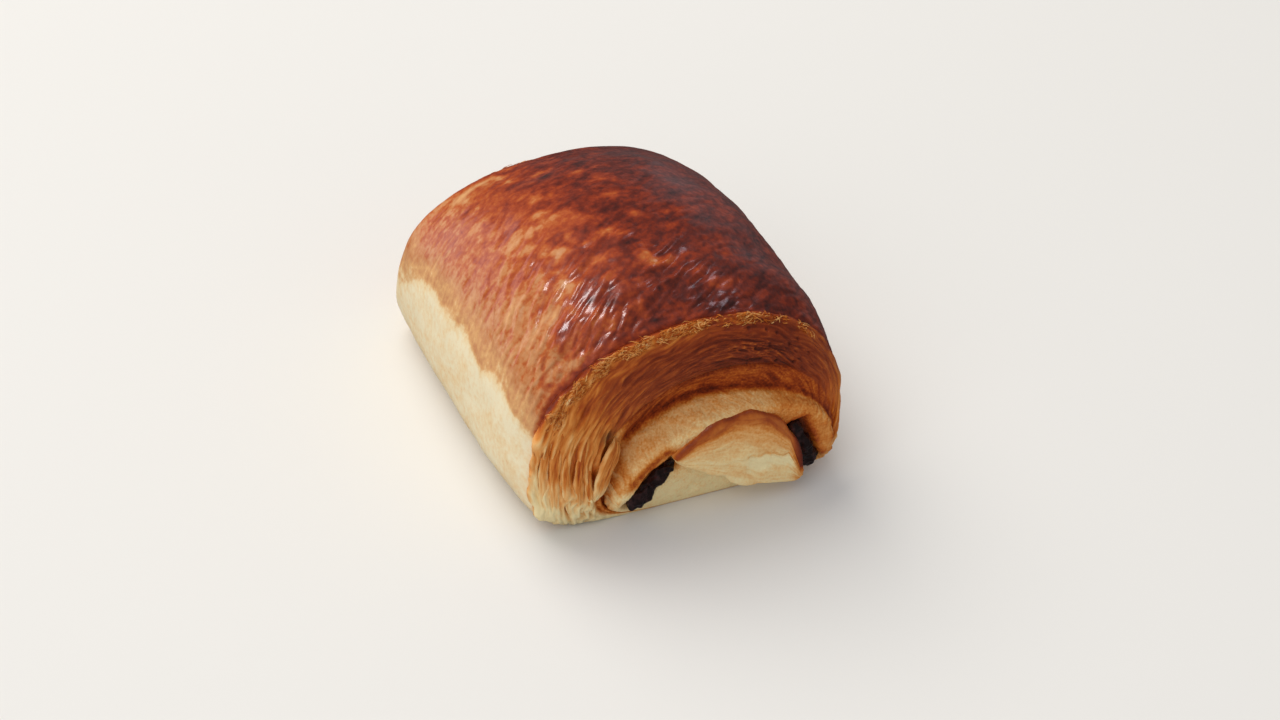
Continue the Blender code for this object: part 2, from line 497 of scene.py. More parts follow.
FRONT = End(
    facing=Facing.FRONT,
    plan_power=5.0,
    rim=34.8,
    crest=36.6,
    belly=39.8,
    lip=39.2,
    fold=34.2,
    cut=41.6,
    face=39.4,
    foot=38.8,
    tongue=46.4,
)
BACK = End(
    facing=Facing.BACK,
    plan_power=7.5,
    rim=39.0,
    crest=40.8,
    belly=44.4,
    lip=43.4,
    fold=39.0,
    cut=43.0,
    face=41.4,
    foot=42.0,
    tongue=46.4,
)


@dataclass(frozen=True)
class Roll:
    """The whole roll's sizes, and where the points of its skin and of its cut ends lie.

    The crown is the share of the height lost at the far ends, the lean is how far an end goes back
    for each millimetre of height, and the opening is how steeply the wrap draws apart where its
    layers have opened, away from the bearing where they stay closed.
    """

    half_width: float = 40.9
    height: float = 56.4
    widest_height: float = 19.8
    left_power: float = 2.12
    right_power: float = 2.2
    foot_power: float = 6.0
    flat_below: float = 1.4
    half_length: float = 48.2
    crown: float = 0.235
    lean: float = 0.10
    foot_height: float = 9.0
    loop: int = 32
    barrel_shares: Sequence[float] = (0.95, 0.72, 0.4, 0.05, -0.3, -0.64, -0.92)
    lip: Edge = Edge(
        x=7.0, z=10.5, left=29.0, right=29.5, top=25.2, bottom=10.3, left_power=2.35, right_power=2.1
    )
    fold: Edge = Edge(
        x=6.0, z=9.5, left=27.0, right=30.0, top=18.3, bottom=9.2, left_power=1.8, right_power=2.3
    )
    cut: Edge = Edge(
        x=9.0, z=8.5, left=28.6, right=27.0, top=16.6, bottom=8.2, left_power=1.7, right_power=2.6
    )
    closed_at: float = 20.0
    opening: float = 2.2

    def angles(self) -> Array:
        """The angle of each control point of a loop."""
        return 2 * math.pi * np.arange(self.loop) / self.loop

    def skin(self, end: End, reach: float, inward: Array | float = 0.0) -> Array:
        """Points (x, z) of the glazed skin.

        Args:
            end: the end whose taper they follow.
            reach: their distance from the roll's middle.
            inward: how deep below the skin they lie.

        Returns:
            One point for each control angle.
        """
        angles = self.angles()
        share = reach / self.half_length
        taper = (1 - share**end.plan_power) ** (1 / end.plan_power)
        across, up = np.cos(angles), np.sin(angles)
        dome_power = np.where(across > 0, self.right_power, self.left_power)
        radius = superellipse(across, up, np.where(up > 0, dome_power, self.foot_power))
        dome = self.height * (1 - self.crown * share**2) - self.widest_height
        x = self.half_width * taper * radius * across
        z = self.widest_height + np.where(up > 0, dome * taper, self.widest_height) * radius * up
        length = np.hypot(x, z - self.widest_height)
        shrink = 1 - inward / length
        x = x * shrink
        z = self.widest_height + (z - self.widest_height) * shrink
        z = np.where((z < self.flat_below) & (np.asarray(inward) == 0), 0.0, z)
        return np.stack([x, z], axis=-1)

    def leaning(self, reach: Array | float, z: Array) -> Array:
        """The reach at that height: an end leans in above the widest part and out below it."""
        return reach - self.lean * (z - self.widest_height)

    def footed(self, end: End, reach: Array | float, z: Array) -> Array:
        """The reach of a ring that draws in to the end's foot near the ground.

        Args:
            end: the end.
            reach: how far the ring lies from the roll's middle, at its widest height.
            z: the heights of its points.

        Returns:
            The reach of each point.
        """
        share = np.minimum(1.0, z / self.foot_height)
        return end.foot + (self.leaning(reach, z) - end.foot) * share

    def loop_at(self, end: End, flat: Array, reach: Array) -> Array:
        """A loop of points (x, y, z) from points (x, z) and their reaches towards the end."""
        return np.stack([flat[:, 0], end.facing.value * reach, flat[:, 1]], axis=-1)

    def barrel(self) -> list[Array]:
        """The loops of the barrel.

        Returns:
            The loops, each of one point (x, y, z) for each control angle, from the front to the back.
        """
        loops = []
        for share in self.barrel_shares:
            end = FRONT if share > 0 else BACK
            flat = self.skin(end, abs(share) * end.rim)
            loops.append(self.loop_at(end, flat, abs(share) * self.leaning(end.rim, flat[:, 1])))
        return loops

    def skin_loop(self, end: End, reach: Array | float, inward: Array | float) -> Array:
        """A loop near an end's rim.

        Args:
            end: the end.
            reach: how far the loop lies from the roll's middle.
            inward: how deep it lies below the skin.

        Returns:
            One point (x, y, z) for each control angle.
        """
        flat = self.skin(end, end.rim, inward)
        return self.loop_at(end, flat, self.leaning(reach, flat[:, 1]))

    def end_loops(self, end: End) -> list[Array]:
        """The loops of a cut end, from just inside the rim to the inner roll's face.

        Args:
            end: the end.

        Returns:
            The loops, each of one point (x, y, z) for each control angle.
        """
        angles = self.angles()
        rim, lip = self.skin(end, end.rim), self.lip.at(angles)
        fold, cut = self.fold.at(angles), self.cut.at(angles)
        away = 0.5 - 0.5 * np.cos(angles - math.radians(self.closed_at))
        open_by = np.minimum(1.0, self.opening * away)
        fold_reach = end.lip + (end.fold - end.lip) * open_by
        crest = rim + (lip - rim) * 0.15
        rings = (
            (rim + (lip - rim) * 0.34, (end.crest + 2 * end.belly) / 3),
            (rim + (lip - rim) * 0.68, end.belly),
            (lip, end.lip),
            (lip + (fold - lip) * 0.35, (end.lip + fold_reach) / 2),
            (fold, fold_reach),
            ((fold + cut) / 2, (fold_reach + end.cut) / 2),
            (cut, end.cut),
            (self.cut.at(angles, 0.9), end.cut),
            (self.cut.at(angles, 0.5), end.face),
        )
        loops = [self.loop_at(end, crest, self.leaning(end.crest, crest[:, 1]))]
        for flat, reach in rings:
            loops.append(self.loop_at(end, flat, self.footed(end, reach, flat[:, 1])))
        return loops

    def pole(self, end: End, reach: float, height: float, across: float = 0.0) -> Array:
        """A loop drawn together to one point.

        Args:
            end: the end towards which it lies.
            reach: how far it is from the roll's middle.
            height: its height over the ground.
            across: its X.

        Returns:
            The same point (x, y, z) for each control angle.
        """
        return np.tile((across, end.facing.value * reach, height), (self.loop, 1))


ROLL = Roll()


def grain(angles: Array, along: Array, radius: float = 35.0) -> Array:
    """Places for patterns that follow the roll.

    Args:
        angles: the angles round the roll.
        along: distances along its surface.
        radius: how wide the circle is that the angles are laid out on.

    Returns:
        Points whose third number is the distance.
    """
    return np.stack([radius * np.cos(angles), radius * np.sin(angles), along], axis=-1)


# ---------------------------------------------------------------------------------------------
# Finishes
# ---------------------------------------------------------------------------------------------


def linear(code: str) -> tuple[float, float, float, float]:
    """The linear colour, with full alpha, of an sRGB hex code."""
    parts = [int(code[i : i + 2], 16) / 255 for i in (1, 3, 5)]
    return (*(c / 12.92 if c <= 0.04045 else ((c + 0.055) / 1.055) ** 2.4 for c in parts), 1.0)


def add_node(
    tree: bpy.types.NodeTree,
    kind: str,
    links: Optional[dict] = None,
    stops: Sequence[tuple[float, str]] = (),
    **settings: object,
) -> bpy.types.Node:
    """Adds a node with its settings and links.

    Args:
        tree: the node tree of a material or of the world.
        kind: the node's type, without its ShaderNode prefix.
        links: for each input, by name or number, a value, a node or one of a node's outputs.
        stops: places and hex codes, where the node is a colour ramp.
        settings: the node's own properties.

    Returns:
        The new node.
    """
    node = tree.nodes.new("ShaderNode" + kind)
    for key, value in settings.items():
        setattr(node, key, value)
    for place, _ in stops[2:]:
        node.color_ramp.elements.new(place)
    for number, (place, code) in enumerate(stops):
        node.color_ramp.elements[number].position = place
        node.color_ramp.elements[number].color = linear(code)
    for key, value in (links or {}).items():
        if isinstance(value, bpy.types.Node):
            value = value.outputs[0]
        if isinstance(value, bpy.types.NodeSocket):
            tree.links.new(value, node.inputs[key])
        else:
            node.inputs[key].default_value = value
    return node


NOISE_SPAN = {"From Min": 0.3, "From Max": 0.7}  # where most of a noise node's values lie


def start_material(name: str) -> tuple[bpy.types.Material, Callable[..., bpy.types.Node]]:
    """A new material without nodes, and the function that adds them to it."""
    material = bpy.data.materials.new(name)
    material.use_nodes = True
    material.node_tree.nodes.clear()
    return material, partial(add_node, material.node_tree)


@dataclass(frozen=True)
class EggWashedCrust:
    """Laminated dough brushed with egg and baked: a thin brown varnish over a wrinkled skin.

    To the eye it runs from cream at the sides to red-brown on top, in soft blotches, under a gloss
    that breaks up on the puckers.
    """

    name: str = "egg_washed_crust"
    stops: Sequence[tuple[float, str]] = (
        (0.0, "#F1E3C0"),
        (0.14, "#ECD0A0"),
        (0.26, "#DAA56C"),
        (0.38, "#CA8D5C"),
        (0.47, "#C37C47"),
        (0.54, "#B95E24"),
        (0.63, "#A84414"),
        (0.74, "#8A2E0C"),
        (0.87, "#641E0C"),
        (1.0, "#3C110A"),
    )
    blotch: float = 1.3  # mm, the flecks where the egg caught
    stretch_mark: float = 0.9  # mm across, and four times as long round the roll
    pore: float = 0.5  # mm, drawn coarser than the real 0.2 mm, which is too fine to be seen

    def make(self) -> bpy.types.Material:
        """Builds the material.

        Returns:
            The new material.
        """
        material, add = start_material(self.name)
        read = [add("Attribute", attribute_name=key) for key in ("place", "grain", "bake", "glaze")]
        place, grain_place = (node.outputs["Vector"] for node in read[:2])
        bake, glaze = (node.outputs["Fac"] for node in read[2:])
        along = add("Mapping", {"Vector": grain_place, "Scale": (0.25, 0.25, 1.0)})
        spotted = {"Vector": place, "Scale": 1 / self.blotch, "Detail": 4.0, "Roughness": 0.6}
        fleck = add("TexNoise", spotted)
        mark = add("TexNoise", {"Vector": along, "Scale": 1 / self.stretch_mark, "Detail": 3.0})
        pore = add("TexNoise", {"Vector": place, "Scale": 1 / self.pore, "Detail": 2.0})
        fleck_tone = add("MapRange", {"Value": fleck, **NOISE_SPAN, "To Min": -0.08, "To Max": 0.08})
        mark_tone = add("MapRange", {"Value": mark, **NOISE_SPAN, "To Min": -0.02, "To Max": 0.02})
        tone = add("Math", {0: bake, 1: fleck_tone}, operation="ADD")
        tone = add("Math", {0: tone, 1: mark_tone}, operation="ADD", use_clamp=True)
        colour = add("ValToRGB", {"Fac": tone}, self.stops)
        normal = add("Bump", {"Height": pore, "Distance": 0.03 * MM})
        normal = add("Bump", {"Height": mark, "Distance": 0.045 * MM, "Normal": normal})
        rough = add("MapRange", {"Value": fleck, **NOISE_SPAN, "To Min": 0.34, "To Max": 0.5})
        shader = add(
            "BsdfPrincipled",
            {
                "Base Color": colour,
                "Roughness": rough,
                "Normal": normal,
                "Coat Weight": glaze,
                "Coat Roughness": 0.2,
                "Coat IOR": 1.5,
                "IOR": 1.45,
                "Specular IOR Level": 0.4,
            },
        )
        add("OutputMaterial", {"Surface": shader})
        return material


@dataclass(frozen=True)
class LaminatedDough:
    """Laminated dough where it was cut and rose: papery browned edges over open, buttery crumb.

    To the eye it is layer on layer, cream where the oven left it and caramel to red-brown where
    it caught, with hardly any gloss.
    """

    name: str = "laminated_dough"
    stops: Sequence[tuple[float, str]] = (
        (0.0, "#F2DFAC"),
        (0.14, "#EFCE93"),
        (0.28, "#E6AE6C"),
        (0.4, "#D88C42"),
        (0.52, "#C36A22"),
        (0.64, "#A44812"),
        (0.76, "#822F0A"),
        (0.88, "#5E1E0A"),
        (1.0, "#3A120A"),
    )
    # painted shade: the dark that is mixed in where the shade attribute is below 1, in the batons'
    # pockets and the holes
    painted_shade: str = "#34150A"
    layer: float = 0.7  # mm, drawn coarser than the real 0.3 mm, which is too fine to be seen
    leaf: float = 0.36  # mm, the same layers' finer half
    crumb_pore: float = 0.55  # mm, the small holes between the large ones that are modelled

    def make(self) -> bpy.types.Material:
        """Builds the material.

        Returns:
            The new material.
        """
        material, add = start_material(self.name)
        keys = ("place", "grain", "bake", "crumb", "shade", "glaze")
        read = [add("Attribute", attribute_name=key) for key in keys]
        place, grain_place = (node.outputs["Vector"] for node in read[:2])
        bake, crumb, shade, glaze = (node.outputs["Fac"] for node in read[2:])
        along = add("Mapping", {"Vector": grain_place, "Scale": (0.12, 0.12, 1.0)})
        layer = add("TexNoise", {"Vector": along, "Scale": 1 / self.layer, "Detail": 3.0})
        leaf = add("TexNoise", {"Vector": along, "Scale": 1 / self.leaf, "Detail": 2.0})
        pore = add("TexNoise", {"Vector": place, "Scale": 1 / self.crumb_pore, "Detail": 3.0})
        layered = add("Mix", {0: crumb, 2: layer, 3: pore}, data_type="FLOAT")
        layer_tone = add("MapRange", {"Value": layered, **NOISE_SPAN, "To Min": -0.075, "To Max": 0.075})
        leaf_tone = add("MapRange", {"Value": leaf, **NOISE_SPAN, "To Min": -0.04, "To Max": 0.04})
        tone = add("Math", {0: bake, 1: layer_tone}, operation="ADD")
        tone = add("Math", {0: tone, 1: leaf_tone}, operation="ADD", use_clamp=True)
        colour = add("ValToRGB", {"Fac": tone}, self.stops)
        # painted shade over the dough's colour, as much as the shade attribute falls below 1
        tones = {0: shade, 6: linear(self.painted_shade), 7: colour}
        colour = add("Mix", tones, data_type="RGBA").outputs[2]
        normal = add("Bump", {"Height": pore, "Distance": 0.10 * MM})
        normal = add("Bump", {"Height": layer, "Distance": 0.14 * MM, "Normal": normal})
        normal = add("Bump", {"Height": leaf, "Distance": 0.05 * MM, "Normal": normal})
        rough = add("MapRange", {"Value": crumb, "To Min": 0.5, "To Max": 0.78})
        shader = add(
            "BsdfPrincipled",
            {
                "Base Color": colour,
                "Roughness": rough,
                "Normal": normal,
                "Coat Weight": glaze,
                "Coat Roughness": 0.3,
                "IOR": 1.45,
                "Specular IOR Level": 0.2,
            },
        )
        add("OutputMaterial", {"Surface": shader})
        return material


@dataclass(frozen=True)
class BakedChocolate:
    """Dark baking chocolate that softened in the oven and set again.

    To the eye it is nearly black, lumpy and half dull, with a faint purple-brown bloom.
    """

    name: str = "baked_dark_chocolate"
    dark: str = "#1E0B08"
    bloom: str = "#432425"
    cloud: float = 1.6  # mm, the patches of bloom
    lump: float = 0.6  # mm, the grains of the surface as it set

    def make(self) -> bpy.types.Material:
        """Builds the material.

        Returns:
            The new material.
        """
        material, add = start_material(self.name)
        place = add("Attribute", attribute_name="place").outputs["Vector"]
        cloud = add("TexNoise", {"Vector": place, "Scale": 1 / self.cloud, "Detail": 4.0})
        lump = add("TexNoise", {"Vector": place, "Scale": 1 / self.lump, "Detail": 3.0})
        share = add("MapRange", {"Value": cloud, "From Min": 0.45, "From Max": 0.7})
        tones = {0: share, 6: linear(self.dark), 7: linear(self.bloom)}
        colour = add("Mix", tones, data_type="RGBA").outputs[2]
        rough = add("MapRange", {"Value": cloud, **NOISE_SPAN, "To Min": 0.3, "To Max": 0.5})
        normal = add("Bump", {"Height": lump, "Distance": 0.14 * MM})
        shader = add(
            "BsdfPrincipled",
            {
                "Base Color": colour,
                "Roughness": rough,
                "Normal": normal,
                "IOR": 1.48,
                "Specular IOR Level": 0.5,
            },
        )
        add("OutputMaterial", {"Surface": shader})
        return material


@dataclass(frozen=True)
class PaintedFloor:
    """A studio floor in matt paint: plain and pale, with a hardly visible cloudiness."""

    name: str = "matt_floor_paint"
    paint: str = "#E6E5E2"
    chalk: str = "#FFFFFF"
    cloud_metres: float = 0.4  # the brush's own cloudiness, wider than the whole roll

    def make(self) -> bpy.types.Material:
        """Builds the material.

        Returns:
            The new material.
        """
        material, add = start_material(self.name)
        place = add("TexCoord").outputs["Object"]
        cloud = add("TexNoise", {"Vector": place, "Scale": 1 / self.cloud_metres, "Detail": 2.0})
        share = add("MapRange", {"Value": cloud, **NOISE_SPAN, "To Min": 0.0, "To Max": 0.04})
        tones = {0: share, 6: linear(self.paint), 7: linear(self.chalk)}
        colour = add("Mix", tones, data_type="RGBA").outputs[2]
        finish = {"Base Color": colour, "Roughness": 0.75, "Specular IOR Level": 0.2}
        add("OutputMaterial", {"Surface": add("BsdfPrincipled", finish)})
        return material


# ---------------------------------------------------------------------------------------------
# Sub-assemblies
# ---------------------------------------------------------------------------------------------


@dataclass(frozen=True)
class Bar:
    """Where a chocolate baton lies in the roll's section: its middle, its slope and its section.

    The slope is the angle of its width from +X, in degrees, and the hook is how far its upper edge
    has sagged.
    """

    name: str
    node: str
    x: float
    z: float
    slope: float
    seed: int
    width: float
    thickness: float
    hook: float

    def turned(self, place: Array) -> tuple[Array, Array]:
        """How far places lie from the bar's middle.

        Args:
            place: points whose last axis starts with X and ends with Z.

        Returns:
            The distances along the bar's width and up through its thickness.
        """
        lie = math.radians(self.slope)
        x, z = place[..., 0] - self.x, place[..., -1] - self.z
        wide = x * math.cos(lie) + z * math.sin(lie)
        return wide, z * math.cos(lie) - x * math.sin(lie) + self.bend(2 * wide / self.width)

    def bend(self, share: Array) -> Array:
        """How far the bar has sagged at a share of its half width, which is 1 at its upper edge."""
        return self.hook * ease(0.35, 1.0, share)

    def distance(self, place: Array) -> Array:
        """How far outside the bar's section places lie.

        Args:
            place: points whose last axis starts with X and ends with Z.

        Returns:
            The distance of each, less than 0 within the section.
        """
        wide, thick = self.turned(place)
        wide = np.abs(wide) - self.width / 2
        thick = np.abs(thick) - self.thickness / 2
        outside = np.hypot(np.maximum(wide, 0), np.maximum(thick, 0))
        return outside + np.minimum(np.maximum(wide, thick), 0)


BARS = (
    Bar(
        name="baton_left",
        node="chocolate_baton_left",
        x=-11.2,
        z=10.2,
        slope=54.0,
        seed=51,
        width=14.8,
        thickness=3.5,
        hook=1.9,
    ),
    Bar(
        name="baton_right",
        node="chocolate_baton_right",
        x=27.9,
        z=10.6,
        slope=115.0,
        seed=53,
        width=14.6,
        thickness=4.0,
        hook=0.0,
    ),
)


def groove(end: End) -> Array:
    """How open the groove between the skin's edge and the cut layers is.

    Args:
        end: the end, whose groove is much narrower at the back.

    Returns:
        A share for each control angle, which is highest on the upper left.
    """
    side = 1.0 if end.facing is Facing.FRONT else 0.25
    return side * ease(78.0, 30.0, np.abs(bearing(ROLL.angles(), 140.0)))


def thinned_below(share: float) -> list[float]:
    """Closeness of points round a loop, where the hidden underside has that share less."""
    return list(1.0 - share * ease(70.0, 35.0, np.abs(bearing(ROLL.angles(), -90.0))))


def rim_loops(end: End, rim: float, plan: Sequence[tuple[float, float, float, float]]) -> list[Array]:
    """Loops near an end's rim, after a hidden pole inside the roll.

    Args:
        end: the end.
        rim: how far its rim is from the roll's middle.
        plan: for each loop, how far out of the rim it lies and how much that changes where the
            groove is open, then how deep it lies below the skin and how much that changes.

    Returns:
        The loops, from the pole outwards.
    """
    open_by = groove(end)
    pole = ROLL.pole(end, rim - POLE_DEPTH, ROLL.widest_height)
    loops = [
        ROLL.skin_loop(end, rim + out + out_open * open_by, deep + deep_open * open_by)
        for out, out_open, deep, deep_open in plan
    ]
    return [pole, pole, *loops]


class SkinSurvey:
    """What the skin's relief and its browning both go by, at each point of its smooth form.

    The lay and the slant are places for patterns, laid out along the roll and at a slant to it, and
    the pull draws the patterns out of their even spacing. The masks are 1 near the rim, where the
    edge is rolled in, towards the front, on top and on the left shoulder, and the rest are patterns,
    whose sizes in millimetres go round the roll, round it again and along it.
    """

    def __init__(self, form: Mould, seed: int, rim_row: float) -> None:
        """Reads the smooth form.

        Args:
            form: the skin's form, before its relief.
            seed: the seed of its patterns.
            rim_row: the row of the net that is the front rim.
        """
        self.noise = noise = Noise(seed)
        self.place = form.points
        self.y, self.z = self.place[..., 1], self.place[..., 2]
        self.turn = bearing(form.angles)
        along = form.travelled(rim_row)
        edge = np.minimum(along, -form.travelled(len(form.net) - 1 - rim_row))
        self.lay = grain(form.angles, along)
        self.slant = grain(form.angles, along + 0.35 * self.turn)

        self.near_rim = np.exp(-np.maximum(edge, 0.0) / 5.0)
        self.rolled = ease(1.2, -1.2, edge)
        self.front = ease(16.0, -26.0, self.y)
        self.top = ease(88.0, 50.0, np.abs(self.turn))
        self.shoulder = hump(62.0, 18.0, self.turn)

        self.pull = 1.4 * noise.clouds(self.lay + 70.0, 9.0)[..., None]
        near, far = noise.cells(self.slant + 3.0 + self.pull, (5.6, 5.6, 2.6))
        self.blister = ease(0.70, 0.15, near)
        self.network = ease(0.25, 0.03, far - near)
        self.marks = noise.clouds(self.lay, (16.0, 16.0, 1.15))
        self.mottle = noise.clouds(self.lay + 21.0 + self.pull, (9.0, 9.0, 6.5))
        self.blotch = noise.clouds(self.lay + 81.0 + self.pull, (4.2, 4.2, 3.2))


@dataclass
class GlazedSkin:
    """The roll's outer skin, a closed shell with rolled edges whose inner walls are hidden.

    The tones are pairs of a turn, in degrees from straight up, and how far the skin has browned.
    """

    name: str = "glazed_skin"
    seed: int = 11
    segments: int = 448
    rings: int = 218
    rim_row: float = 6.0  # of the net, counted from either end
    pale_beyond: float = 75.5  # degrees from straight up, on the left
    pale_right_below: float = 11.0  # the height under which the right side is pale
    rim_plan: Sequence[tuple[float, float, float, float]] = (
        (-11.0, 0.0, 14.0, 0.0),
        (-5.0, 0.0, 6.0, 0.0),
        (-0.4, -0.4, 3.2, 1.6),
        (0.5, -0.6, 1.5, 1.2),
        (0.2, -1.6, 0.5, 0.7),
        (-1.4, -2.6, 0.0, 0.0),
    )
    rim_density: Sequence[float] = (0.02, 0.02, 0.03, 0.1, 0.4, 1.3, 1.5, 1.3)
    tones: Sequence[Point] = (
        (-180, 0.5),
        (-100, 0.55),
        (-70, 0.70),
        (-40, 0.84),
        (-15, 0.85),
        (5, 0.80),
        (20, 0.74),
        (32, 0.68),
        (41, 0.62),
        (49, 0.55),
        (60, 0.49),
        (72, 0.40),
        (90, 0.32),
        (180, 0.3),
    )

    def mould(self) -> Mould:
        """The skin's smooth form.

        Returns:
            The form, whose poles both lie inside the roll.
        """
        front = rim_loops(FRONT, FRONT.rim, self.rim_plan)
        back = rim_loops(BACK, BACK.rim + 0.9, self.rim_plan)
        barrel = ROLL.barrel()[1:-1]
        net = np.array(front + barrel + back[::-1])
        density = [*self.rim_density, *[1.0] * len(barrel), *self.rim_density[::-1]]
        return Mould(self.name, self.segments, self.rings, net, density, thinned_below(0.75))

    def relief(self, at: SkinSurvey) -> Array:
        """Swells, puckers, blisters and creases, which are stronger towards the front.

        Args:
            at: the readings of the smooth form.

        Returns:
            How high they stand over the smooth form.
        """
        pucker = at.noise.clouds(at.slant + at.pull, (7.0, 7.0, 2.5))
        fine = at.noise.clouds(at.slant + 31.0, (3.4, 3.4, 1.3))
        crease = at.noise.creases(at.slant + 15.0 + at.pull, (12.0, 12.0, 3.4), 8)
        wrinkled = at.top * (1 - 0.55 * ease(5.0, -30.0, at.turn))
        fold = 0.4 * hump(-26.0, 5.0, at.y) - 0.9 * hump(-15.0, 5.0, at.y)
        height = 0.42 * at.noise.clouds(at.place, 14.0)
        height += wrinkled * ((0.08 + 0.24 * at.front) * pucker + 0.14 * fine * at.front)
        height += wrinkled * (0.05 + 0.17 * at.front) * at.blister
        height -= wrinkled * (0.05 + 0.13 * at.front) * crease
        height += at.marks * (0.10 * at.near_rim + 0.10 * at.shoulder)
        height += fold * hump(-45.0, 22.0, at.turn)
        return height * (1 - 0.6 * at.rolled) * ease(0.3, 4.0, at.z)

    def browning_and_shade(self, at: SkinSurvey) -> Array:
        """The egg-washed top, browned in soft blotches, and the rolled edges, with painted shade at the
        front.

        Args:
            at: the readings of the smooth form.

        Returns:
            How far they have browned.
        """
        y, turn, front = at.y, at.turn, at.front
        bake = profile(self.tones, turn)
        vivid = ease(64.0, 34.0, turn) * ease(-30.0, 10.0, turn)
        orange = ease(0.05, 0.45, at.mottle + 0.6 * at.blotch) * vivid
        bake += (0.05 + 0.15 * vivid) * at.mottle + (0.06 + 0.13 * vivid) * at.blotch - 0.10 * orange
        bake += at.top * (0.05 * at.network - 0.05 * at.blister * front)
        bake -= 0.09 * at.marks * at.shoulder
        bake -= 0.06 * ease(4.0, 30.0, y) * hump(38.0, 14.0, turn)
        bake -= 0.10 * front * hump(48.0, 13.0, turn)
        bake += 0.04 * ease(-2.0, 20.0, y) * hump(58.0, 9.0, turn)
        bake += at.near_rim * front * (0.06 * ease(60.0, 25.0, turn) + 0.05 * ease(20.0, 60.0, turn))
        # painted shade: the front's rolled edge is dark where it turns into the groove
        return mixed(bake, np.where(y < 0, 0.76 + 0.06 * at.blotch, bake + 0.06), at.rolled)

    def pale_sides(self, at: SkinSurvey, bake: Array) -> Array:
        """Leaves the sides cream, below the wandering edge of the egg wash.

        Args:
            at: the readings of the smooth form.
            bake: how far the top has browned.

        Returns:
            How far the whole skin has browned, from 0 to 1.
        """
        wander = 3.4 * at.noise.clouds(at.lay + 9.0, (14.0, 14.0, 9.0))
        limit = self.pale_beyond + 24.0 * ease(22.0, 42.0, at.y) + 7.0 * ease(-27.0, -37.0, at.y)
        soft = 1.0 + 1.2 * ease(18.0, 34.0, at.y)
        bake = bake - 0.11 * hump(limit - 4.5, 4.0, at.turn + wander)
        left = ease(limit + 2.5 * soft, limit - 2.5 * soft, at.turn + wander)
        left = 0.65 * left + 0.35 * ease(limit + 7.0 * soft, limit - 1.0, at.turn + wander)
        right = ease(self.pale_right_below - 6.0, self.pale_right_below + 8.0, at.z + wander)
        pale = 0.06 + 0.06 * at.mottle + 0.04 * at.blotch + 0.05 * ease(12.0, 2.0, at.z)
        # painted highlight: a paler line just beyond the egg wash's edge
        pale -= 0.07 * hump(limit + 5.0, 4.0, at.turn)
        on_left = np.abs(at.turn - 90.0) < 90.0
        bake = np.where(on_left, mixed(pale, bake, left), mixed(pale + 0.16, bake, right))
        return np.clip(mixed(bake, 0.5, ease(1.2, 0.2, at.z)), 0.0, 1.0)

    def glazing(self, at: SkinSurvey, bake: Array) -> Array:
        """The egg wash, thinner on the right, at the back and where the edges are rolled in.

        Args:
            at: the readings of the smooth form.
            bake: how far the skin has browned, which is little where no egg reached it.

        Returns:
            How thick the egg wash is, from 0 to 1.
        """
        glaze = ease(0.25, 0.55, bake) * (0.8 + 0.2 * ease(-0.3, 0.3, at.mottle))
        glaze = glaze * (1 - 0.7 * at.rolled)
        return glaze * ((1 - 0.6 * ease(-15.0, -45.0, at.turn)) * (1 - 0.6 * ease(20.0, 40.0, at.y)))

    def build(self, material: bpy.types.Material) -> bpy.types.Object:
        """Models the skin and its relief, and works out how it has browned.

        Args:
            material: the crust's finish.

        Returns:
            The new piece.
        """
        form = self.mould()
        at = SkinSurvey(form, self.seed, self.rim_row)
        form.raise_by(self.relief(at))
        bake = self.pale_sides(at, self.browning_and_shade(at))
        values = {
            "place": form.points,
            "grain": at.lay,
            "bake": bake,
            "glaze": self.glazing(at, bake),
        }
        return finish_piece(form.press(values), material)


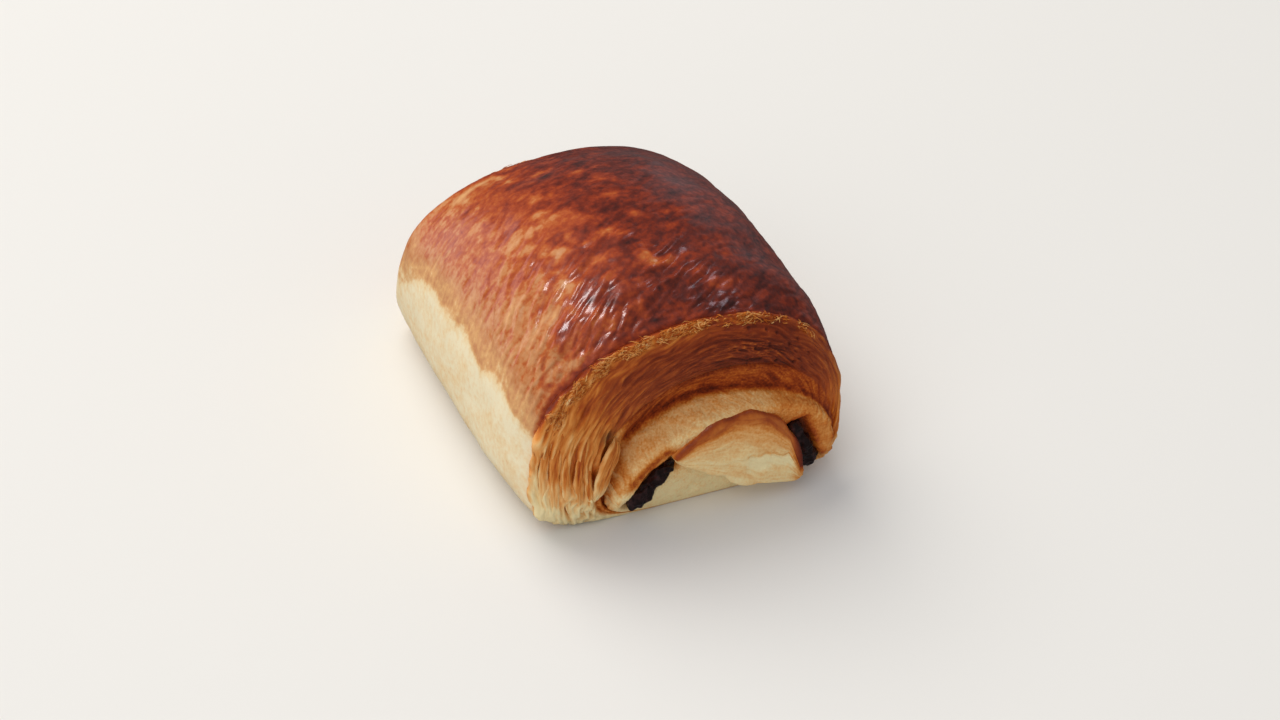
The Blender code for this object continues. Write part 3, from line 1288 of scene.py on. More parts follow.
class EndSurvey:
    """What an end's relief and its browning both go by, at each point of its smooth form.

    The first masks are 1 on the left leg, on the right one, over the top and underneath, the wrap
    and the roll are 1 on the end's outer layers and on the inner roll, and the lines are 1 along the
    seams between them. The warped places follow the arch of the layers, so that patterns read there
    run with them, and the rest are patterns, whose sizes in millimetres go round the end, round it
    again and inwards.
    """

    def __init__(self, host: "LaminatedEnd") -> None:
        """Reads where each point lies, and the layers' patterns there.

        Args:
            host: the end, before its relief.
        """
        self.noise = noise = Noise(host.seed)
        self.angles = host.form.angles
        self.place = place = host.form.points
        self.row = row = host.row
        self.turn = turn = bearing(self.angles)
        self.lay = grain(self.angles, host.inwards())
        self.x, self.z = place[..., 0], place[..., 2]

        self.left = ease(40.0, 68.0, turn) * ease(172.0, 140.0, turn)
        self.right = ease(-50.0, -85.0, turn) * ease(-150.0, -110.0, turn)
        self.top = (1 - self.left) * (1 - self.right)
        self.beneath = ease(-95.0, -130.0, turn)
        self.ragged = noise.clouds(self.lay + 90.0, (5.0, 5.0, 5.0))

        self.lip = host.lip - 0.35 * self.left
        self.wrap = ease(self.lip + 0.35, self.lip - 0.15, row)
        self.roll = ease(host.fold - 0.1, host.fold + 0.5, row + 0.2 * self.ragged)
        sway = 1.1 * noise.clouds(self.lay + 5.0, (13.0, 13.0, 6.0))
        self.warped = grain(self.angles, host.inset() + sway)
        rope = noise.cords(self.warped + 40.0, (17.0, 17.0, 2.2))
        cord = noise.cords(self.warped + 55.0, (11.0, 11.0, 1.3))
        self.strands = 0.75 * rope + 0.35 * cord
        self.fibres = noise.clouds(self.warped + 70.0, (8.0, 8.0, 0.8))
        self.thread = noise.creases(self.warped + 20.0, (9.0, 9.0, 1.1), 9)
        curls = noise.creases(self.lay + 60.0 + sway[..., None], (4.0, 4.0, 0.9), 6)
        self.curled = hump(host.lip - 1.2, 0.6, row) * hump(-16.0, 22.0, turn) * curls
        self.pores = noise.clouds(place, 1.3)
        self.puff = noise.clouds(place + 7.0, 3.4)
        hole_near, _ = noise.cells(place + 4.0, 2.4)
        self.dimple = ease(0.24, 0.10, hole_near) * ease(host.cut, host.cut + 1.0, row)
        self.pits = ease(0.28, 0.12, hole_near) * self.wrap * hump(-26.0, 20.0, turn)

        beside_cut = ease(host.cut + 0.7, host.cut - 0.2, row)
        self.frayed = ease(58.0, 76.0, turn) * ease(135.0, 112.0, turn) * beside_cut
        self.flaked = ease(-36.0, -56.0, turn) * ease(-128.0, -104.0, turn) * beside_cut
        seam = ease(-44.0, -18.0, turn)
        self.lip_line = hump(self.lip + 0.25 + 0.12 * self.ragged, 0.24, row) * seam
        self.fold_line = hump(host.fold + 0.15 + 0.2 * self.ragged, 0.22, row) * seam
        self.hole = hump(61.0, 4.0, turn) * hump(9.45, 0.3, row)
        self.hole += hump(66.0, 4.0, turn) * hump(10.7, 0.4, row)


@dataclass
class LaminatedEnd:
    """A cut end: the wrap's layers round the recess, and the inner roll that stands out of it.

    The fields from wall to cut are rows of the net, counted from the pole inside the roll. The wrap
    tones are pairs of a turn, in degrees from straight up, and how far the wrap has browned.
    """

    name: str
    end: End
    seed: int
    segments: int = 512
    rings: int = 190
    wall: float = 4.0
    valley: float = 5.0
    crest: float = 7.0
    lip: float = 10.0
    fold: float = 12.0
    cut: float = 14.0
    arch_middle: float = 4.0
    arch_half_width: float = 43.0
    arch_foot: float = 18.0
    arch_rise: float = 36.0
    rim_plan: Sequence[tuple[float, float, float, float]] = (
        (-12.0, 0.0, 14.0, 0.0),
        (-8.0, 0.0, 5.0, 0.0),
        (-3.0, 0.0, 2.4, 1.2),
        (-0.5, -0.5, 1.3, 1.2),
    )
    rim_density: Sequence[float] = (0.02, 0.02, 0.03, 0.1, 0.8, 1.6, 1.7)
    face_density: Sequence[float] = (1.7, 1.7, 1.7, 1.4, 1.0, 1.0, 0.8, 0.9, 0.8, 0.6, 0.5, 0.5)
    wrap_tones: Sequence[Point] = (
        (-180, 0.2),
        (-125, 0.30),
        (-90, 0.52),
        (-60, 0.61),
        (-30, 0.68),
        (0, 0.67),
        (25, 0.66),
        (45, 0.62),
        (60, 0.55),
        (75, 0.51),
        (90, 0.48),
        (105, 0.41),
        (120, 0.28),
        (135, 0.22),
        (180, 0.2),
    )
    form: Mould = field(init=False)
    row: Array = field(init=False)

    def __post_init__(self) -> None:
        """Works out the end's smooth form, closed by a wall that is hidden in the roll."""
        end, front = self.end, self.end.facing is Facing.FRONT
        plan = [*self.rim_plan, (0.9, 0.3, 0.2 if front else 2.2, 0.3)]
        middle = ROLL.pole(end, end.face, ROLL.cut.z, ROLL.cut.x)
        face = ROLL.end_loops(end) if front else self.sunk(ROLL.end_loops(end))
        net = np.array([*rim_loops(end, end.rim, plan), *face, middle, middle])
        density = [*self.rim_density, *self.face_density]
        if front:
            net, density = net[::-1], density[::-1]
        self.form = Mould(self.name, self.segments, self.rings, net, density, thinned_below(0.6))
        rows = self.form.rows()
        self.row = len(net) - 1 - rows if front else rows

    @staticmethod
    def sunk(loops: list[Array]) -> list[Array]:
        """Draws the crest in towards the lip, as the back end's has sunk.

        Args:
            loops: the end's loops, from its crest inwards.

        Returns:
            The same number of loops.
        """
        crest = 0.45 * loops[0] + 0.55 * loops[1]
        crest[:, 1] = 0.75 * crest[:, 1] + 0.25 * loops[0][:, 1]
        return [crest, 0.8 * loops[1] + 0.2 * loops[2], *loops[2:]]

    def inwards(self) -> Array:
        """Distance along the surface, towards the middle of the end.

        Returns:
            The distance at each point, 0 at the valley.
        """
        front = self.end.facing is Facing.FRONT
        start = len(self.form.net) - 1 - self.valley if front else self.valley
        return self.form.travelled(start) * (-1 if front else 1)

    def inset(self) -> Array:
        """Distance inwards from an arch with straight legs, whose line the layers follow.

        Returns:
            The distance at each point, measured across the arch.
        """
        place = self.form.points
        across = (place[..., 0] - self.arch_middle) / self.arch_half_width
        up = np.maximum(place[..., 2] - self.arch_foot, 0.0) / self.arch_rise
        return self.arch_half_width * (1 - np.hypot(across, up))

    def relief(self, at: EndSurvey) -> Array:
        """The layers, their seams, the crumb's pores and the dents beside the batons.

        Args:
            at: the readings of the smooth form.

        Returns:
            How high they stand over the smooth form.
        """
        height = 0.30 * at.noise.clouds(at.place, 9.0) - 0.3 * at.pits
        height += 0.5 * at.roll * (at.frayed + at.flaked) * at.fibres
        height += at.wrap * at.strands * (0.16 * at.top + 0.80 * at.left + 0.45 * at.right)
        height += at.wrap * at.fibres * (0.12 + 0.10 * at.left)
        height += 0.30 * at.curled + 0.14 * at.wrap * at.thread * at.top
        height -= 0.9 * at.lip_line + 0.8 * at.fold_line
        height += at.roll * (0.12 * at.pores + 0.16 * at.puff - 0.25 * at.dimple)
        for bar in BARS:
            height -= 1.3 * ease(1.4, 0.5, bar.distance(at.place)) * at.roll
        height -= 0.8 * at.hole
        return height * ease(0.2, 3.0, at.z) * ease(self.wall - 0.5, self.valley, at.row)

    def shadows(self, at: EndSurvey) -> Array:
        """The shade in the batons' pockets and in the holes between the layers.

        Args:
            at: the readings of the smooth form.

        Returns:
            How much light reaches each point, 1 where all of it does.
        """
        light = np.ones_like(at.row)
        for bar in BARS:
            light *= 1 - 0.65 * ease(0.9, 0.1, bar.distance(at.place)) * at.roll
        return light * (1 - 0.75 * np.clip(at.hole, 0.0, 1.0))

    def wrap_browning_and_shade(self, at: EndSurvey) -> Array:
        """The wrap: browned along its crest, darker in its valleys, paler on its fibres, with painted
        groove shade.

        Args:
            at: the readings of the smooth form.

        Returns:
            How far it has browned.
        """
        row, turn, ragged = at.row, at.turn, at.ragged
        tone = profile(self.wrap_tones, turn)
        crest_top = ease(self.crest + 0.4, self.crest + 1.4, row) * at.top
        tone += (0.07 + 0.06 * hump(-2.0, 24.0, turn)) * crest_top
        tone -= (np.clip(at.strands, -1, 1) - 0.2) * (0.04 + 0.15 * at.left + 0.10 * at.right)
        tone -= at.fibres * (0.05 + 0.05 * at.left)
        tone += 0.12 * at.pits
        tone += 0.11 * ease(self.crest - 0.7, self.crest + 0.1, row) * hump(-24.0, 26.0, turn)
        tone -= 0.34 * at.curled + 0.09 * at.thread * at.top + 0.17 * ease(16.0, 2.0, at.z) * at.left
        left_leg = ease(80.0, 100.0, turn) * ease(172.0, 140.0, turn)
        tone -= 0.22 * hump(self.crest - 0.4, 0.7, row) * left_leg
        golden = hump(self.crest - 0.3 + 0.3 * ragged, 0.4, row)
        golden *= np.clip(0.6 + 1.6 * ragged, 0.0, 1.3)
        tone -= 0.20 * golden * ease(-30.0, 0.0, turn) * ease(78.0, 52.0, turn)
        # painted shade: the groove between the skin's edge and the crest is dark
        in_groove = ease(self.valley + 1.35, self.valley + 0.75, row + 0.2 * ragged)
        return mixed(tone, 0.80 - 0.45 * np.maximum(ease(66.0, 82.0, turn), at.beneath), in_groove)

    def hollow_browning_and_shade(self, at: EndSurvey) -> Array:
        """The recess between the wrap and the inner roll, dark partly in its own colour, partly as
        painted shade.

        Args:
            at: the readings of the smooth form.

        Returns:
            How far it has browned.
        """
        films = at.noise.clouds(at.warped + 33.0, (7.0, 7.0, 0.9))
        # partly painted shade: the recess is dark under the overhanging wrap, with a dark line along the
        # fold
        tone = 0.64 + 0.14 * hump(self.fold - 0.1 + 0.5 * at.ragged, 0.5, at.row) + 0.14 * films
        tone += 0.12 * ease(66.0, 78.0, at.turn) - 0.28 * ease(46.0, 62.0, at.turn)
        return tone - 0.16 * at.beneath

    def roll_browning(self, at: EndSurvey) -> Array:
        """The inner roll, which is pale but for its sides and its flakes.

        Args:
            at: the readings of the smooth form.

        Returns:
            How far it has browned.
        """
        turn = at.turn
        streaked = grain(at.angles, 0.2 * at.lay[..., 2]) + 12.0
        streaks = at.noise.clouds(streaked, (1.1, 1.1, 3.0))
        pale = ease(13.2, 14.2, at.row) * np.maximum(ease(-18.0, 12.0, turn), at.beneath)
        tone = 0.31 - 0.11 * pale + 0.12 * ease(-12.0, -32.0, turn) * ease(-120.0, -85.0, turn)
        tone += 0.04 * at.puff + 0.04 * at.pores + 0.06 * at.dimple
        tone += 0.05 * streaks * ease(10.0, -25.0, turn)
        tone += 0.11 * at.frayed * (1 + 2.4 * at.fibres) + 0.30 * at.flaked * at.fibres
        return tone - 0.16 * ease(13.0, 7.0, at.z) * ease(36.0, 30.0, at.x)

    def browning_and_shade(self, at: EndSurvey) -> Array:
        """The whole end, with painted shade in its seams, groove and recess, darker where a baton has
        melted in.

        Args:
            at: the readings of the smooth form.

        Returns:
            How far it has browned, from 0 to 1.
        """
        bake = mixed(self.hollow_browning_and_shade(at), self.wrap_browning_and_shade(at), at.wrap)
        bake = mixed(bake, self.roll_browning(at), at.roll)
        # painted shade along the seams at the lip and the fold
        bake += 0.14 * (at.lip_line + at.fold_line) * (1 - 0.6 * at.left)
        above = ease(36.0, 44.0, at.turn) * ease(92.0, 74.0, at.turn)
        bake += (0.42 + 0.10 * at.puff) * hump(self.cut + 0.72, 0.5, at.row) * above
        left_bar, right_bar = (bar.distance(at.place) for bar in BARS)
        bake += 0.25 * ease(3.2, 0.8, right_bar) * at.roll + 0.22 * ease(1.8, 0.5, left_bar) * at.roll
        return np.clip(bake, 0.0, 1.0)

    def build(self, material: bpy.types.Material) -> bpy.types.Object:
        """Models the end and its layers, and works out how they have browned.

        Args:
            material: the dough's finish.

        Returns:
            The new piece.
        """
        at = EndSurvey(self)
        bake = self.browning_and_shade(at)
        crumb = (1 - at.wrap) * (1 - at.right)
        self.form.raise_by(self.relief(at))
        values = {
            "place": self.form.points,
            "grain": at.warped,
            "bake": bake,
            "glaze": 0.25 * (1 - crumb) * ease(0.45, 0.7, bake),
            "crumb": crumb,
            "shade": self.shadows(at),
        }
        return finish_piece(self.form.press(values), material)


@dataclass
class ChocolateBaton:
    """A softened chocolate bar along the roll, with a lumpy section and rounded ends.

    The end plan gives, from a tip inwards, each loop's share of the whole section and how far it
    lies behind the tip.
    """

    bar: Bar
    front_reach: float = 42.3
    back_reach: float = 43.9
    wander: float = 0.5
    swell: float = 0.72
    loop: int = 24
    segments: int = 96
    rings: int = 260
    end_plan: Sequence[Point] = (
        (0.0, 0.0),
        (0.0, 0.0),
        (0.35, 0.0),
        (0.75, 0.1),
        (1.0, 0.9),
        (1.06, 2.4),
        (1.02, 5.0),
    )

    def section(self) -> Array:
        """The bar's section, swollen on its lower side.

        Returns:
            Points (x, z) about its middle.
        """
        angles = 2 * math.pi * np.arange(self.loop) / self.loop
        lie = math.radians(self.bar.slope)
        across, up = np.cos(angles), np.sin(angles)
        radius = superellipse(across, up, 4.0)
        swollen = 0.75 + self.swell * ease(0.2, -0.9, radius * across)
        hooked = self.bar.bend(radius * across)
        x = radius * across * (self.bar.width / 2)
        z = radius * up * (self.bar.thickness / 2 * swollen) - hooked
        way = np.array([[math.cos(lie), math.sin(lie)], [-math.sin(lie), math.cos(lie)]])
        return np.stack([x, z], axis=-1) @ way

    def mould(self) -> Mould:
        """The bar's smooth form, which sways a little along the roll.

        Returns:
            The form, from the front tip to the back one.
        """
        section, lie = self.section(), math.radians(self.bar.slope)
        length = self.front_reach + self.back_reach
        stations = [(scale, back - self.front_reach) for scale, back in self.end_plan]
        stations += [(1.0, length * step / 8 - self.front_reach) for step in range(1, 8)]
        stations += [(scale, self.back_reach - back) for scale, back in self.end_plan[::-1]]
        loops = []
        for scale, y in stations:
            sway = self.wander * math.cos(3 * math.pi * y / length)
            x = self.bar.x - sway * math.sin(lie) + scale * section[:, 0]
            z = self.bar.z + sway * math.cos(lie) + scale * section[:, 1]
            loops.append(np.stack([x, np.full(self.loop, y), z], axis=-1))
        density = [2.0] * 6 + [1.5] + [0.3] * 7 + [1.5] + [2.0] * 6
        net, even = np.array(loops), [1.0] * self.loop
        return Mould(self.bar.name, self.segments, self.rings, net, density, even)

    def build(self, material: bpy.types.Material) -> bpy.types.Object:
        """Models the bar with its lumps, which are lower towards its back end.

        Args:
            material: the chocolate's finish.

        Returns:
            The new piece.
        """
        form = self.mould()
        noise = Noise(self.bar.seed)
        place = form.points
        lumps = 1.0 * noise.clouds(place, 4.2) + 0.7 * noise.clouds(place + 9.0, 1.9)
        form.raise_by(0.15 + lumps * (1 - 0.35 * ease(0.0, 30.0, place[..., 1])), lowest=0.4)
        return finish_piece(form.press({"place": form.points}), material, self.bar.node)


@dataclass
class FoldedTongue:
    """The dough's folded middle between the batons, that has pushed out as a layered tongue.

    The outline goes clockwise from its left tip. The top and the foot are the same outline's upper
    and lower sides, between which the layers are spread, and a station is a loop's scale and how
    far it lies behind the tongue's face.
    """

    name: str
    end: End
    seed: int
    outline: Sequence[Point] = (
        (-7.2, 16.4),
        (-1.5, 20.6),
        (8.0, 24.2),
        (16.5, 23.0),
        (22.4, 16.8),
        (26.4, 8.0),
        (26.4, 3.7),
        (23.0, 4.5),
        (19.2, 5.3),
        (15.0, 6.2),
        (6.0, 10.4),
        (-1.0, 13.8),
    )
    top: Sequence[Point] = (
        (-7.2, 16.4),
        (-1.5, 20.6),
        (8.0, 24.2),
        (16.5, 23.0),
        (22.4, 16.8),
        (25.6, 8.0),
    )
    foot: Sequence[Point] = ((-7.2, 16.4), (-1.0, 13.8), (6.0, 10.4), (15.0, 6.2), (25.2, 4.2))
    middle: Point = (13.0, 14.6)
    lean: float = 0.2
    depth: float = 14.0
    loop: int = 60
    segments: int = 360
    rings: int = 200
    face_plan: Sequence[Point] = (
        (0.0, 0.0),
        (0.0, 0.0),
        (0.4, 0.1),
        (0.86, 0.2),
        (1.0, 0.5),
        (1.03, 1.3),
        (1.03, 3.0),
    )
    density: Sequence[float] = (1.2, 1.2, 1.2, 1.4, 2.0, 2.0, 1.4, 0.3, 0.1, 0.05, 0.05)

    def section(self) -> Array:
        """The tongue's outline, read at even angles.

        Returns:
            Points (x, z) about its middle.
        """
        corners = np.array(self.outline) - self.middle
        turn = np.mod(np.arctan2(corners[:, 1], corners[:, 0]), 2 * math.pi)
        order = np.argsort(turn)
        turn, far = turn[order], np.linalg.norm(corners[order], axis=1)
        angles = 2 * math.pi * np.arange(self.loop) / self.loop
        radius = np.interp(angles, turn, far, period=2 * math.pi)
        return np.stack([np.cos(angles), np.sin(angles)], axis=-1) * radius[:, None]

    def mould(self) -> Mould:
        """The tongue's smooth form, closed by a wall that is hidden in the roll.

        Returns:
            The form, whose one pole is the middle of the face.
        """
        section, side = self.section(), self.end.facing.value
        wall = [(1.0, self.depth - 2), (0.7, self.depth), (0.0, self.depth), (0.0, self.depth)]
        loops = []
        for scale, back in [*self.face_plan, *wall]:
            x, z = (self.middle + scale * section).T
            reach = self.end.tongue - back - self.lean * (z - 4.5)
            loops.append(np.stack([x, side * reach, z], axis=-1))
        net, density = np.array(loops), self.density
        if self.end.facing is Facing.BACK:
            net, density = net[::-1], density[::-1]
        return Mould(self.name, self.segments, self.rings, net, density, [1.0] * self.loop)

    def build(self, material: bpy.types.Material) -> bpy.types.Object:
        """Models the tongue, its layers and the crack across its face.

        Args:
            material: the dough's finish.

        Returns:
            The new piece.
        """
        form, noise = self.mould(), Noise(self.seed)
        place = form.points
        x, y, z = place[..., 0], place[..., 1], place[..., 2]
        top, foot = profile(self.top, x), profile(self.foot, x)
        level = np.clip((z - foot) / np.maximum(top - foot, 1.0), 0.0, 1.0)
        lay = np.stack([x, 0.5 * y, 11.0 * level], axis=-1)
        warp = np.zeros_like(lay)
        warp[..., 2] = 0.9 * noise.clouds(lay, (9.0, 9.0, 5.0))
        layers = noise.clouds(lay + warp, (10.0, 10.0, 1.4))
        grit = noise.clouds(place, 1.2)

        crack_at = 0.50 + 0.02 * (x - 18.0) + 0.05 * noise.clouds(lay + 8.0, (4.0, 4.0, 4.0))
        over_crack = level - crack_at
        crack_span = ease(10.0, 13.0, x) * ease(24.5, 22.5, x)
        crack = hump(0.0, 0.035, over_crack) * crack_span
        below = ease(0.0, 0.02, -over_crack) * ease(0.30, 0.16, -over_crack) * crack_span
        height = 0.26 * layers + 0.12 * noise.clouds(place, 5.0) - 0.45 * crack - 0.30 * below
        form.raise_by(height * ease(0.0, 0.2, level) + 0.05 * grit)

        rows = form.rows()
        row = rows if self.end.facing is Facing.FRONT else len(form.net) - 1 - rows
        arc = ease(0.80, 0.97, level)
        line = hump(4.6, 0.65, row) * ease(0.72, 0.92, level)
        behind = ease(4.8, 5.8, row) * ease(0.5, 0.9, level)
        bake = 0.14 + 0.24 * ease(0.35, 0.95, level) - 0.08 * layers + 0.03 * grit
        bake = mixed(bake, 0.34, behind) + 0.12 * line + 0.18 * arc * (1 - behind)
        bake += 0.20 * ease(22.5, 25.5, x) * (1 - behind) + 0.16 * crack - 0.16 * below
        values = {
            "place": form.points,
            "grain": lay,
            "bake": np.clip(bake, 0.0, 1.0),
            "glaze": 0.3 * arc,
            "crumb": 0.7 - 0.5 * arc,
            "shade": np.ones_like(bake),
        }
        return finish_piece(form.press(values), material)


@dataclass
class TornStrip:
    """A strip of layers that has pulled away from an end's wrap, drawn out to a point at each end.

    It starts and stops at a turn, in degrees from straight up, and a row of the end's net. A fullest
    below 1 puts its widest part nearer to its start, which is then blunt.
    """

    name: str
    host: LaminatedEnd
    seed: int
    start: Point
    stop: Point
    half_width: float
    proud: float
    tone: float
    thickness: float = 0.6
    fullest: float = 1.0
    stations: int = 14
    loop: int = 16
    segments: int = 56
    rings: int = 130
    form: Mould = field(init=False)

    def __post_init__(self) -> None:
        """Works out the strip's smooth form on the end's smooth surface."""
        host = self.host.form
        turns = np.linspace(self.start[0], self.stop[0], self.stations)
        rows = np.linspace(self.start[1], self.stop[1], self.stations)
        segments = [int(np.argmin(np.abs(bearing(host.angles[0]) - turn))) for turn in turns]
        rings = [int(np.argmin(np.abs(self.host.row[:, 0] - row))) for row in rows]
        spine, out = host.points[rings, segments], host.normals()[rings, segments]
        way = np.gradient(spine, axis=0)
        way /= np.linalg.norm(way, axis=1, keepdims=True)
        aside = np.cross(way, out)
        aside /= np.linalg.norm(aside, axis=1, keepdims=True)
        swell = np.sin(math.pi * np.linspace(0.0, 1.0, self.stations) ** self.fullest) ** 0.6
        lift = self.proud * swell - 0.4 * (1 - swell)
        angles = 2 * math.pi * np.arange(self.loop) / self.loop
        net = (
            (spine + out * lift[:, None])[:, None]
            + (self.half_width * swell[:, None] * np.cos(angles))[..., None] * aside[:, None]
            + (self.thickness * swell[:, None] * np.sin(angles))[..., None] * out[:, None]
        )
        net = np.concatenate([net[:1], net, net[-1:]])
        even = [1.0] * len(net), [1.0] * self.loop
        self.form = Mould(self.name, self.segments, self.rings, net, *even)

    def build(self, material: bpy.types.Material) -> bpy.types.Object:
        """Models the strip and its layers, and works out how they have browned.

        Args:
            material: the dough's finish.

        Returns:
            The new piece.
        """
        form, noise = self.form, Noise(self.seed)
        across = np.cos(form.angles)
        along = form.travelled(0.0)
        lay = np.stack([along, 0 * along, self.half_width * across], axis=-1)
        layers = noise.clouds(lay, (7.0, 7.0, 0.8))
        form.raise_by(0.16 * layers + 0.16 * noise.clouds(form.points, 2.2))
        share = form.rows() / (len(form.net) - 1)
        bake = self.tone - 0.13 * layers - 0.16 * across**4 - 0.32 * ease(0.35, 0.85, share)
        values = {
            "place": form.points,
            "grain": lay,
            "bake": np.clip(bake, 0.0, 1.0),
            "glaze": np.zeros_like(bake),
            "crumb": np.zeros_like(bake),
            "shade": np.ones_like(bake),
        }
        return finish_piece(form.press(values), material)


def torn_strips(host: LaminatedEnd) -> list[TornStrip]:
    """The strips that have pulled away from an end's left leg, and its loose flap.

    Args:
        host: the end, before its relief.

    Returns:
        The strips, of which the last is the flap.
    """
    side = host.end.facing.name.lower()
    # start, stop, half width, how proud it stands, tone, then the flap's thickness and fullest
    cuts = (
        ((60.0, 7.0), (130.0, 7.2), 1.0, 0.25, 0.44),
        ((52.0, 7.5), (133.0, 7.9), 1.2, 0.30, 0.52),
        ((66.0, 8.1), (127.0, 8.5), 1.0, 0.30, 0.44),
        ((57.0, 8.6), (131.0, 9.0), 1.2, 0.35, 0.54),
        ((72.0, 9.1), (125.0, 9.4), 0.9, 0.35, 0.46),
        ((60.0, 9.95), (108.0, 9.6), 2.4, 1.2, 0.48, 1.1, 0.55),
    )
    return [
        TornStrip(f"torn_strip_{side}_{number}", host, 60 + number, *cut)
        for number, cut in enumerate(cuts, 1)
    ]


@dataclass
class CrustFibres:
    """Frayed threads of baked dough along an end's crest: one thread modelled, bent and copied.

    The rows are those of the end's net and the turns are degrees from straight up, between which
    the threads lie. The long share of them is longer than the lengths by the long factor.
    """

    name: str
    host: LaminatedEnd
    count: int
    seed: int
    rows: Point = (6.0, 7.2)
    turns: Point = (-50.0, 84.0)
    lengths: Point = (0.5, 1.7)
    tones: Point = (0.30, 0.66)
    long_share: float = 0.06
    long_factor: float = 2.4
    width: float = 0.13
    steps: int = 5

    def thread(self) -> tuple[Array, Array]:
        """A straight square bar of unit length along X, tapered at its ends.

        Returns:
            Its corners, and its faces as rows of four of them.
        """
        deselect_all()
        bpy.ops.mesh.primitive_cube_add(size=1.0, location=(0.0, 0.0, 0.0))
        bar = bpy.context.object
        bpy.ops.object.mode_set(mode="EDIT")
        bpy.ops.mesh.select_mode(type="EDGE")
        bpy.ops.mesh.select_all(action="DESELECT")
        bpy.ops.object.mode_set(mode="OBJECT")
        for edge in bar.data.edges:
            first, second = (bar.data.vertices[i].co for i in edge.vertices)
            edge.select = abs(first.x - second.x) > 0.5
        bpy.ops.object.mode_set(mode="EDIT")
        bpy.ops.mesh.subdivide(number_cuts=self.steps)
        bpy.ops.object.mode_set(mode="OBJECT")
        corners = np.array([tuple(vert.co) for vert in bar.data.vertices])
        corners[:, 1:] *= 1.0 - 0.8 * (2 * np.abs(corners[:, :1])) ** 3
        faces = np.array([tuple(face.vertices) for face in bar.data.polygons])
        bpy.data.objects.remove(bar)
        return corners, faces

    def spots(self, draw: np.random.Generator) -> Array:
        """Draws where the threads lie: in tufts, and fewer down the sides.

        Args:
            draw: the source of random numbers.

        Returns:
            The ring and the segment of the end's form for each thread.
        """
        form = self.host.form
        turn = bearing(form.angles)
        fit = (self.host.row > self.rows[0]) & (self.host.row < self.rows[1])
        fit &= (turn > self.turns[0]) & (turn < self.turns[1])
        spots = np.argwhere(fit)
        tufts = Noise(self.seed).clouds(form.points[tuple(spots.T)], 5.0)
        turn = turn[tuple(spots.T)]
        share = ease(-0.25, 0.4, tufts) + 0.04
        share *= 0.10 + 0.90 * ease(-28.0, -2.0, turn) * ease(78.0, 50.0, turn)
        return spots[draw.choice(len(spots), self.count, replace=False, p=share / share.sum())]

    def laid(
        self,
        draw: np.random.Generator,
        corners: Array,
        base: Array,
        way: Array,
        normal: Array,
    ) -> Array:
        """Bends one thread and lays it on the crest.

        Args:
            draw: the source of random numbers.
            corners: the straight thread's corners.
            base: where its middle lies.
            way: the way round the roll there.
            normal: the way out of the crest there.

        Returns:
            The corners of the bent thread.
        """
        way = way / np.linalg.norm(way)
        aside = np.cross(normal, way)
        lean = draw.normal(0.0, 0.5)
        cos, sin = math.cos(lean), math.sin(lean)
        way, aside = way * cos + aside * sin, aside * cos - way * sin
        length = draw.uniform(*self.lengths)
        length *= self.long_factor if draw.random() < self.long_share else 1.0
        bend, curl, lift = draw.normal(0.0, 0.35, 3) * length * 0.6
        t = corners[:, :1]
        middle = base + way * t * length + aside * (bend * t**2 + curl * np.sin(5 * t) * 0.4)
        middle = middle + normal * (0.12 + abs(lift) * (0.25 - t**2) * 1.3 - 0.1 * np.abs(t))
        half = self.width * draw.uniform(0.7, 1.5)
        return middle + aside * corners[:, 1:2] * half + normal * corners[:, 2:] * half * 0.5

    def build(self, material: bpy.types.Material) -> bpy.types.Object:
        """Scatters the threads on the crest.

        Args:
            material: the dough's finish.

        Returns:
            The new piece.
        """
        draw = np.random.default_rng(self.seed)
        form = self.host.form
        spots, normals = self.spots(draw), form.normals()
        corners, faces = self.thread()
        made_points, made_tones = [], []
        for ring, segment in spots:
            base = form.points[ring, segment]
            way = form.points[ring, (segment + 1) % form.segments] - base
            made_points.append(self.laid(draw, corners, base, way, normals[ring, segment]))
            made_tones.append(np.full(len(corners), draw.uniform(*self.tones)))
        points = np.concatenate(made_points)
        made_faces = [faces + len(corners) * number for number in range(len(spots))]
        mesh = bpy.data.meshes.new(self.name)
        mesh.from_pydata(points * MM, [], np.concatenate(made_faces).tolist())
        values = {"bake": np.concatenate(made_tones), "place": points, "grain": points}
        set_attributes(mesh, {**values, "shade": np.ones(len(points))})
        fibres = bpy.data.objects.new(self.name, mesh)
        bpy.context.scene.collection.objects.link(fibres)
        return finish_piece(fibres, material)


# ---------------------------------------------------------------------------------------------
# The studio
# ---------------------------------------------------------------------------------------------


@dataclass(frozen=True)
class SoftLight:
    """A square soft light that looks at the roll.

    Its azimuth is 0 in front at -Y and 90 at +X and its height is an angle over the floor, both in
    degrees. Its power is in watts, its size and its distance are in metres, and it may be left out
    of what matt surfaces receive or of what glazed ones mirror.
    """

    name: str
    azimuth: float
    height: float
    power: float
    size: float
    colour: str
    distance: float
    diffuse: bool = True
    glossy: bool = True

    def build(self) -> None:
        """Hangs the light and turns it towards the roll's middle."""
        data = bpy.data.lights.new(self.name, "AREA")
        data.energy = self.power
        data.size = self.size
        data.color = linear(self.colour)[:3]
        lamp = bpy.data.objects.new(self.name, data)
        lamp.visible_diffuse = self.diffuse
        lamp.visible_glossy = self.glossy
        a, e = math.radians(self.azimuth), math.radians(self.height)
        way = Vector((math.sin(a) * math.cos(e), -math.cos(a) * math.cos(e), math.sin(e)))
        lamp.location = way * self.distance + Vector((0.0, 0.0, 0.025))
        lamp.rotation_mode = "QUATERNION"
        lamp.rotation_quaternion = way.to_track_quat("Z", "Y")
        bpy.context.scene.collection.objects.link(lamp)


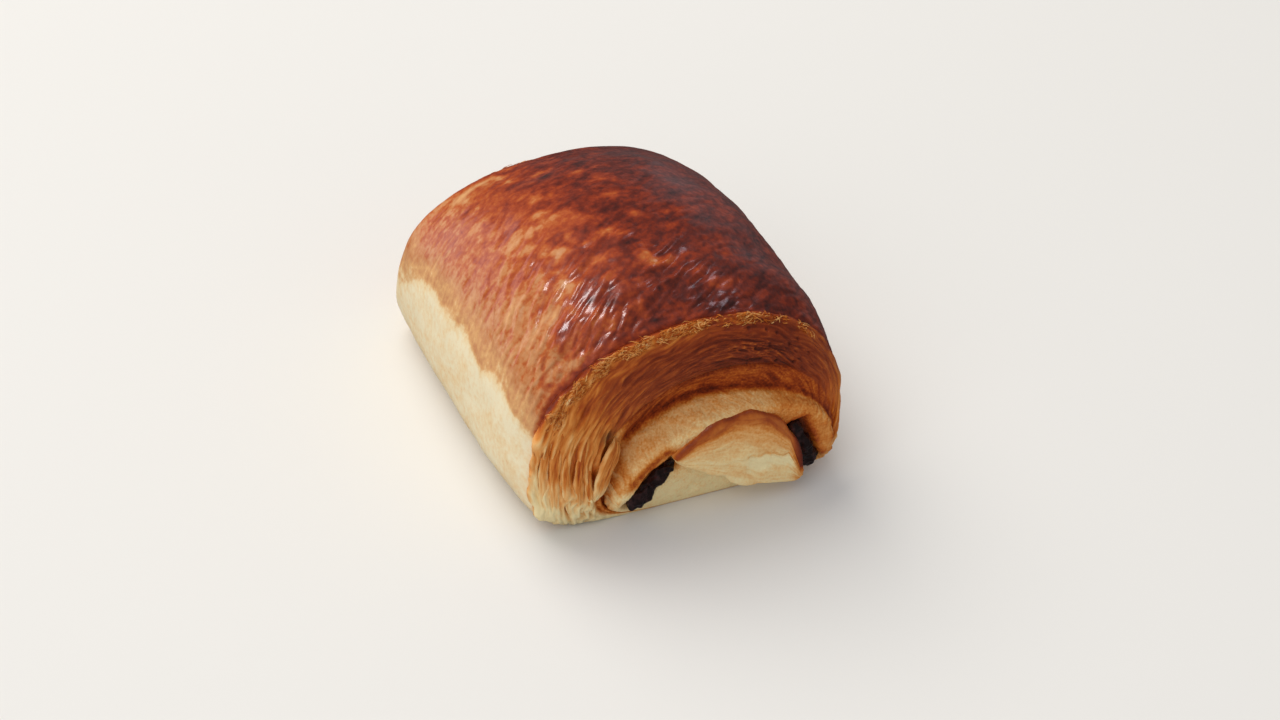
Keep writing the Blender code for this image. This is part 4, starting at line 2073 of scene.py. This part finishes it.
@dataclass
class Studio:
    """The floor, the soft lights and the camera.

    The lens, the sensor, the camera's distance and its shifts are in millimetres, and its pitch, yaw
    and roll in degrees. The room's light is dimmer where a glaze mirrors it, so that the glaze stays
    dark between its lights.
    """

    lens: float = 61.9
    sensor: float = 36.0
    pitch: float = 38.271
    yaw: float = 31.525
    roll: float = 8.021
    distance: float = 525.5
    shift_right: float = 6.96
    shift_up: float = 8.911
    room: float = 0.5
    room_mirrored: float = 0.12
    # name, azimuth, height, power, size, colour, distance
    lights: Sequence[SoftLight] = (
        SoftLight("room_window", -160.0, 48.0, 52.0, 2.0, "#FFF9F0", 2.4, glossy=False),
        SoftLight("front_bounce", -60.0, 40.0, 16.0, 2.0, "#FFFFFF", 2.4, glossy=False),
        SoftLight("high_glint", -104.0, 68.0, 1.6, 0.16, "#FFFFFF", 0.9, diffuse=False),
        SoftLight("shoulder_sheen", -143.0, 8.0, 1.6, 0.7, "#F2EAF0", 1.0, diffuse=False),
        SoftLight("far_sheen", 128.0, 14.0, 0.26, 0.7, "#E4DFE8", 1.0, diffuse=False),
        SoftLight("rim_sheen", 97.0, 60.0, 0.35, 0.14, "#E8E4F4", 0.9, diffuse=False),
    )

    def floor(self) -> None:
        """A wide floor under the roll."""
        deselect_all()
        bpy.ops.mesh.primitive_plane_add(size=6.0, location=(0.0, 0.0, 0.0))
        floor = bpy.context.object
        floor.name = "floor"
        floor.data.materials.append(PaintedFloor().make())
        floor.visible_glossy = False  # a glaze mirrors the dim room, as over a dark table

    def camera(self) -> None:
        """The camera, slightly rolled, looking down on the front left of the roll."""
        data = bpy.data.cameras.new("camera")
        data.lens = self.lens
        data.sensor_width = self.sensor
        turn = (
            Matrix.Rotation(math.radians(-self.yaw), 3, "Z")
            @ Matrix.Rotation(math.radians(90.0 - self.pitch), 3, "X")
            @ Matrix.Rotation(math.radians(self.roll), 3, "Z")
        )
        camera = bpy.data.objects.new("camera", data)
        aside = Vector((self.shift_right, self.shift_up, self.distance))
        place = (turn @ aside + Vector((0.0, -0.6, 0.0))) * MM
        camera.matrix_world = Matrix.Translation(place) @ turn.to_4x4()
        bpy.context.scene.collection.objects.link(camera)
        bpy.context.scene.camera = camera

    def surroundings(self) -> None:
        """An even, dim, slightly cool room light."""
        world = bpy.data.worlds.new("room")
        world.use_nodes = True
        world.node_tree.nodes.clear()
        add = partial(add_node, world.node_tree)
        mirrored = add("LightPath").outputs["Is Glossy Ray"]
        strength = add("MapRange", {"Value": mirrored, "To Min": self.room, "To Max": self.room_mirrored})
        light = add("Background", {"Color": linear("#E8EAEE"), "Strength": strength})
        add("OutputWorld", {"Surface": light})
        bpy.context.scene.world = world

    def build(self) -> None:
        """Sets up the whole studio."""
        self.floor()
        self.surroundings()
        for light in self.lights:
            light.build()
        self.camera()
        bpy.context.scene.view_settings.view_transform = "Standard"


def main() -> None:
    """Builds the roll piece by piece, then its studio."""
    logging.basicConfig(level=logging.INFO, format="%(name)s: %(message)s")
    crust, dough, chocolate = EggWashedCrust().make(), LaminatedDough().make(), BakedChocolate().make()
    GlazedSkin().build(crust)
    ends = (
        LaminatedEnd("laminated_end_front", FRONT, 23),
        LaminatedEnd("laminated_end_back", BACK, 29),
    )
    for number, end in enumerate(ends):
        side = end.end.facing.name.lower()
        strips = torn_strips(end)
        end.build(dough)
        for strip in strips:
            strip.build(dough)
        CrustFibres(f"crust_fibres_{side}", end, 1300, 71 + number).build(dough)
        FoldedTongue(f"folded_tongue_{side}", end.end, 41 + number).build(dough)
    for bar in BARS:
        ChocolateBaton(bar).build(chocolate)
    Studio().build()


if __name__ == "__main__":
    main()
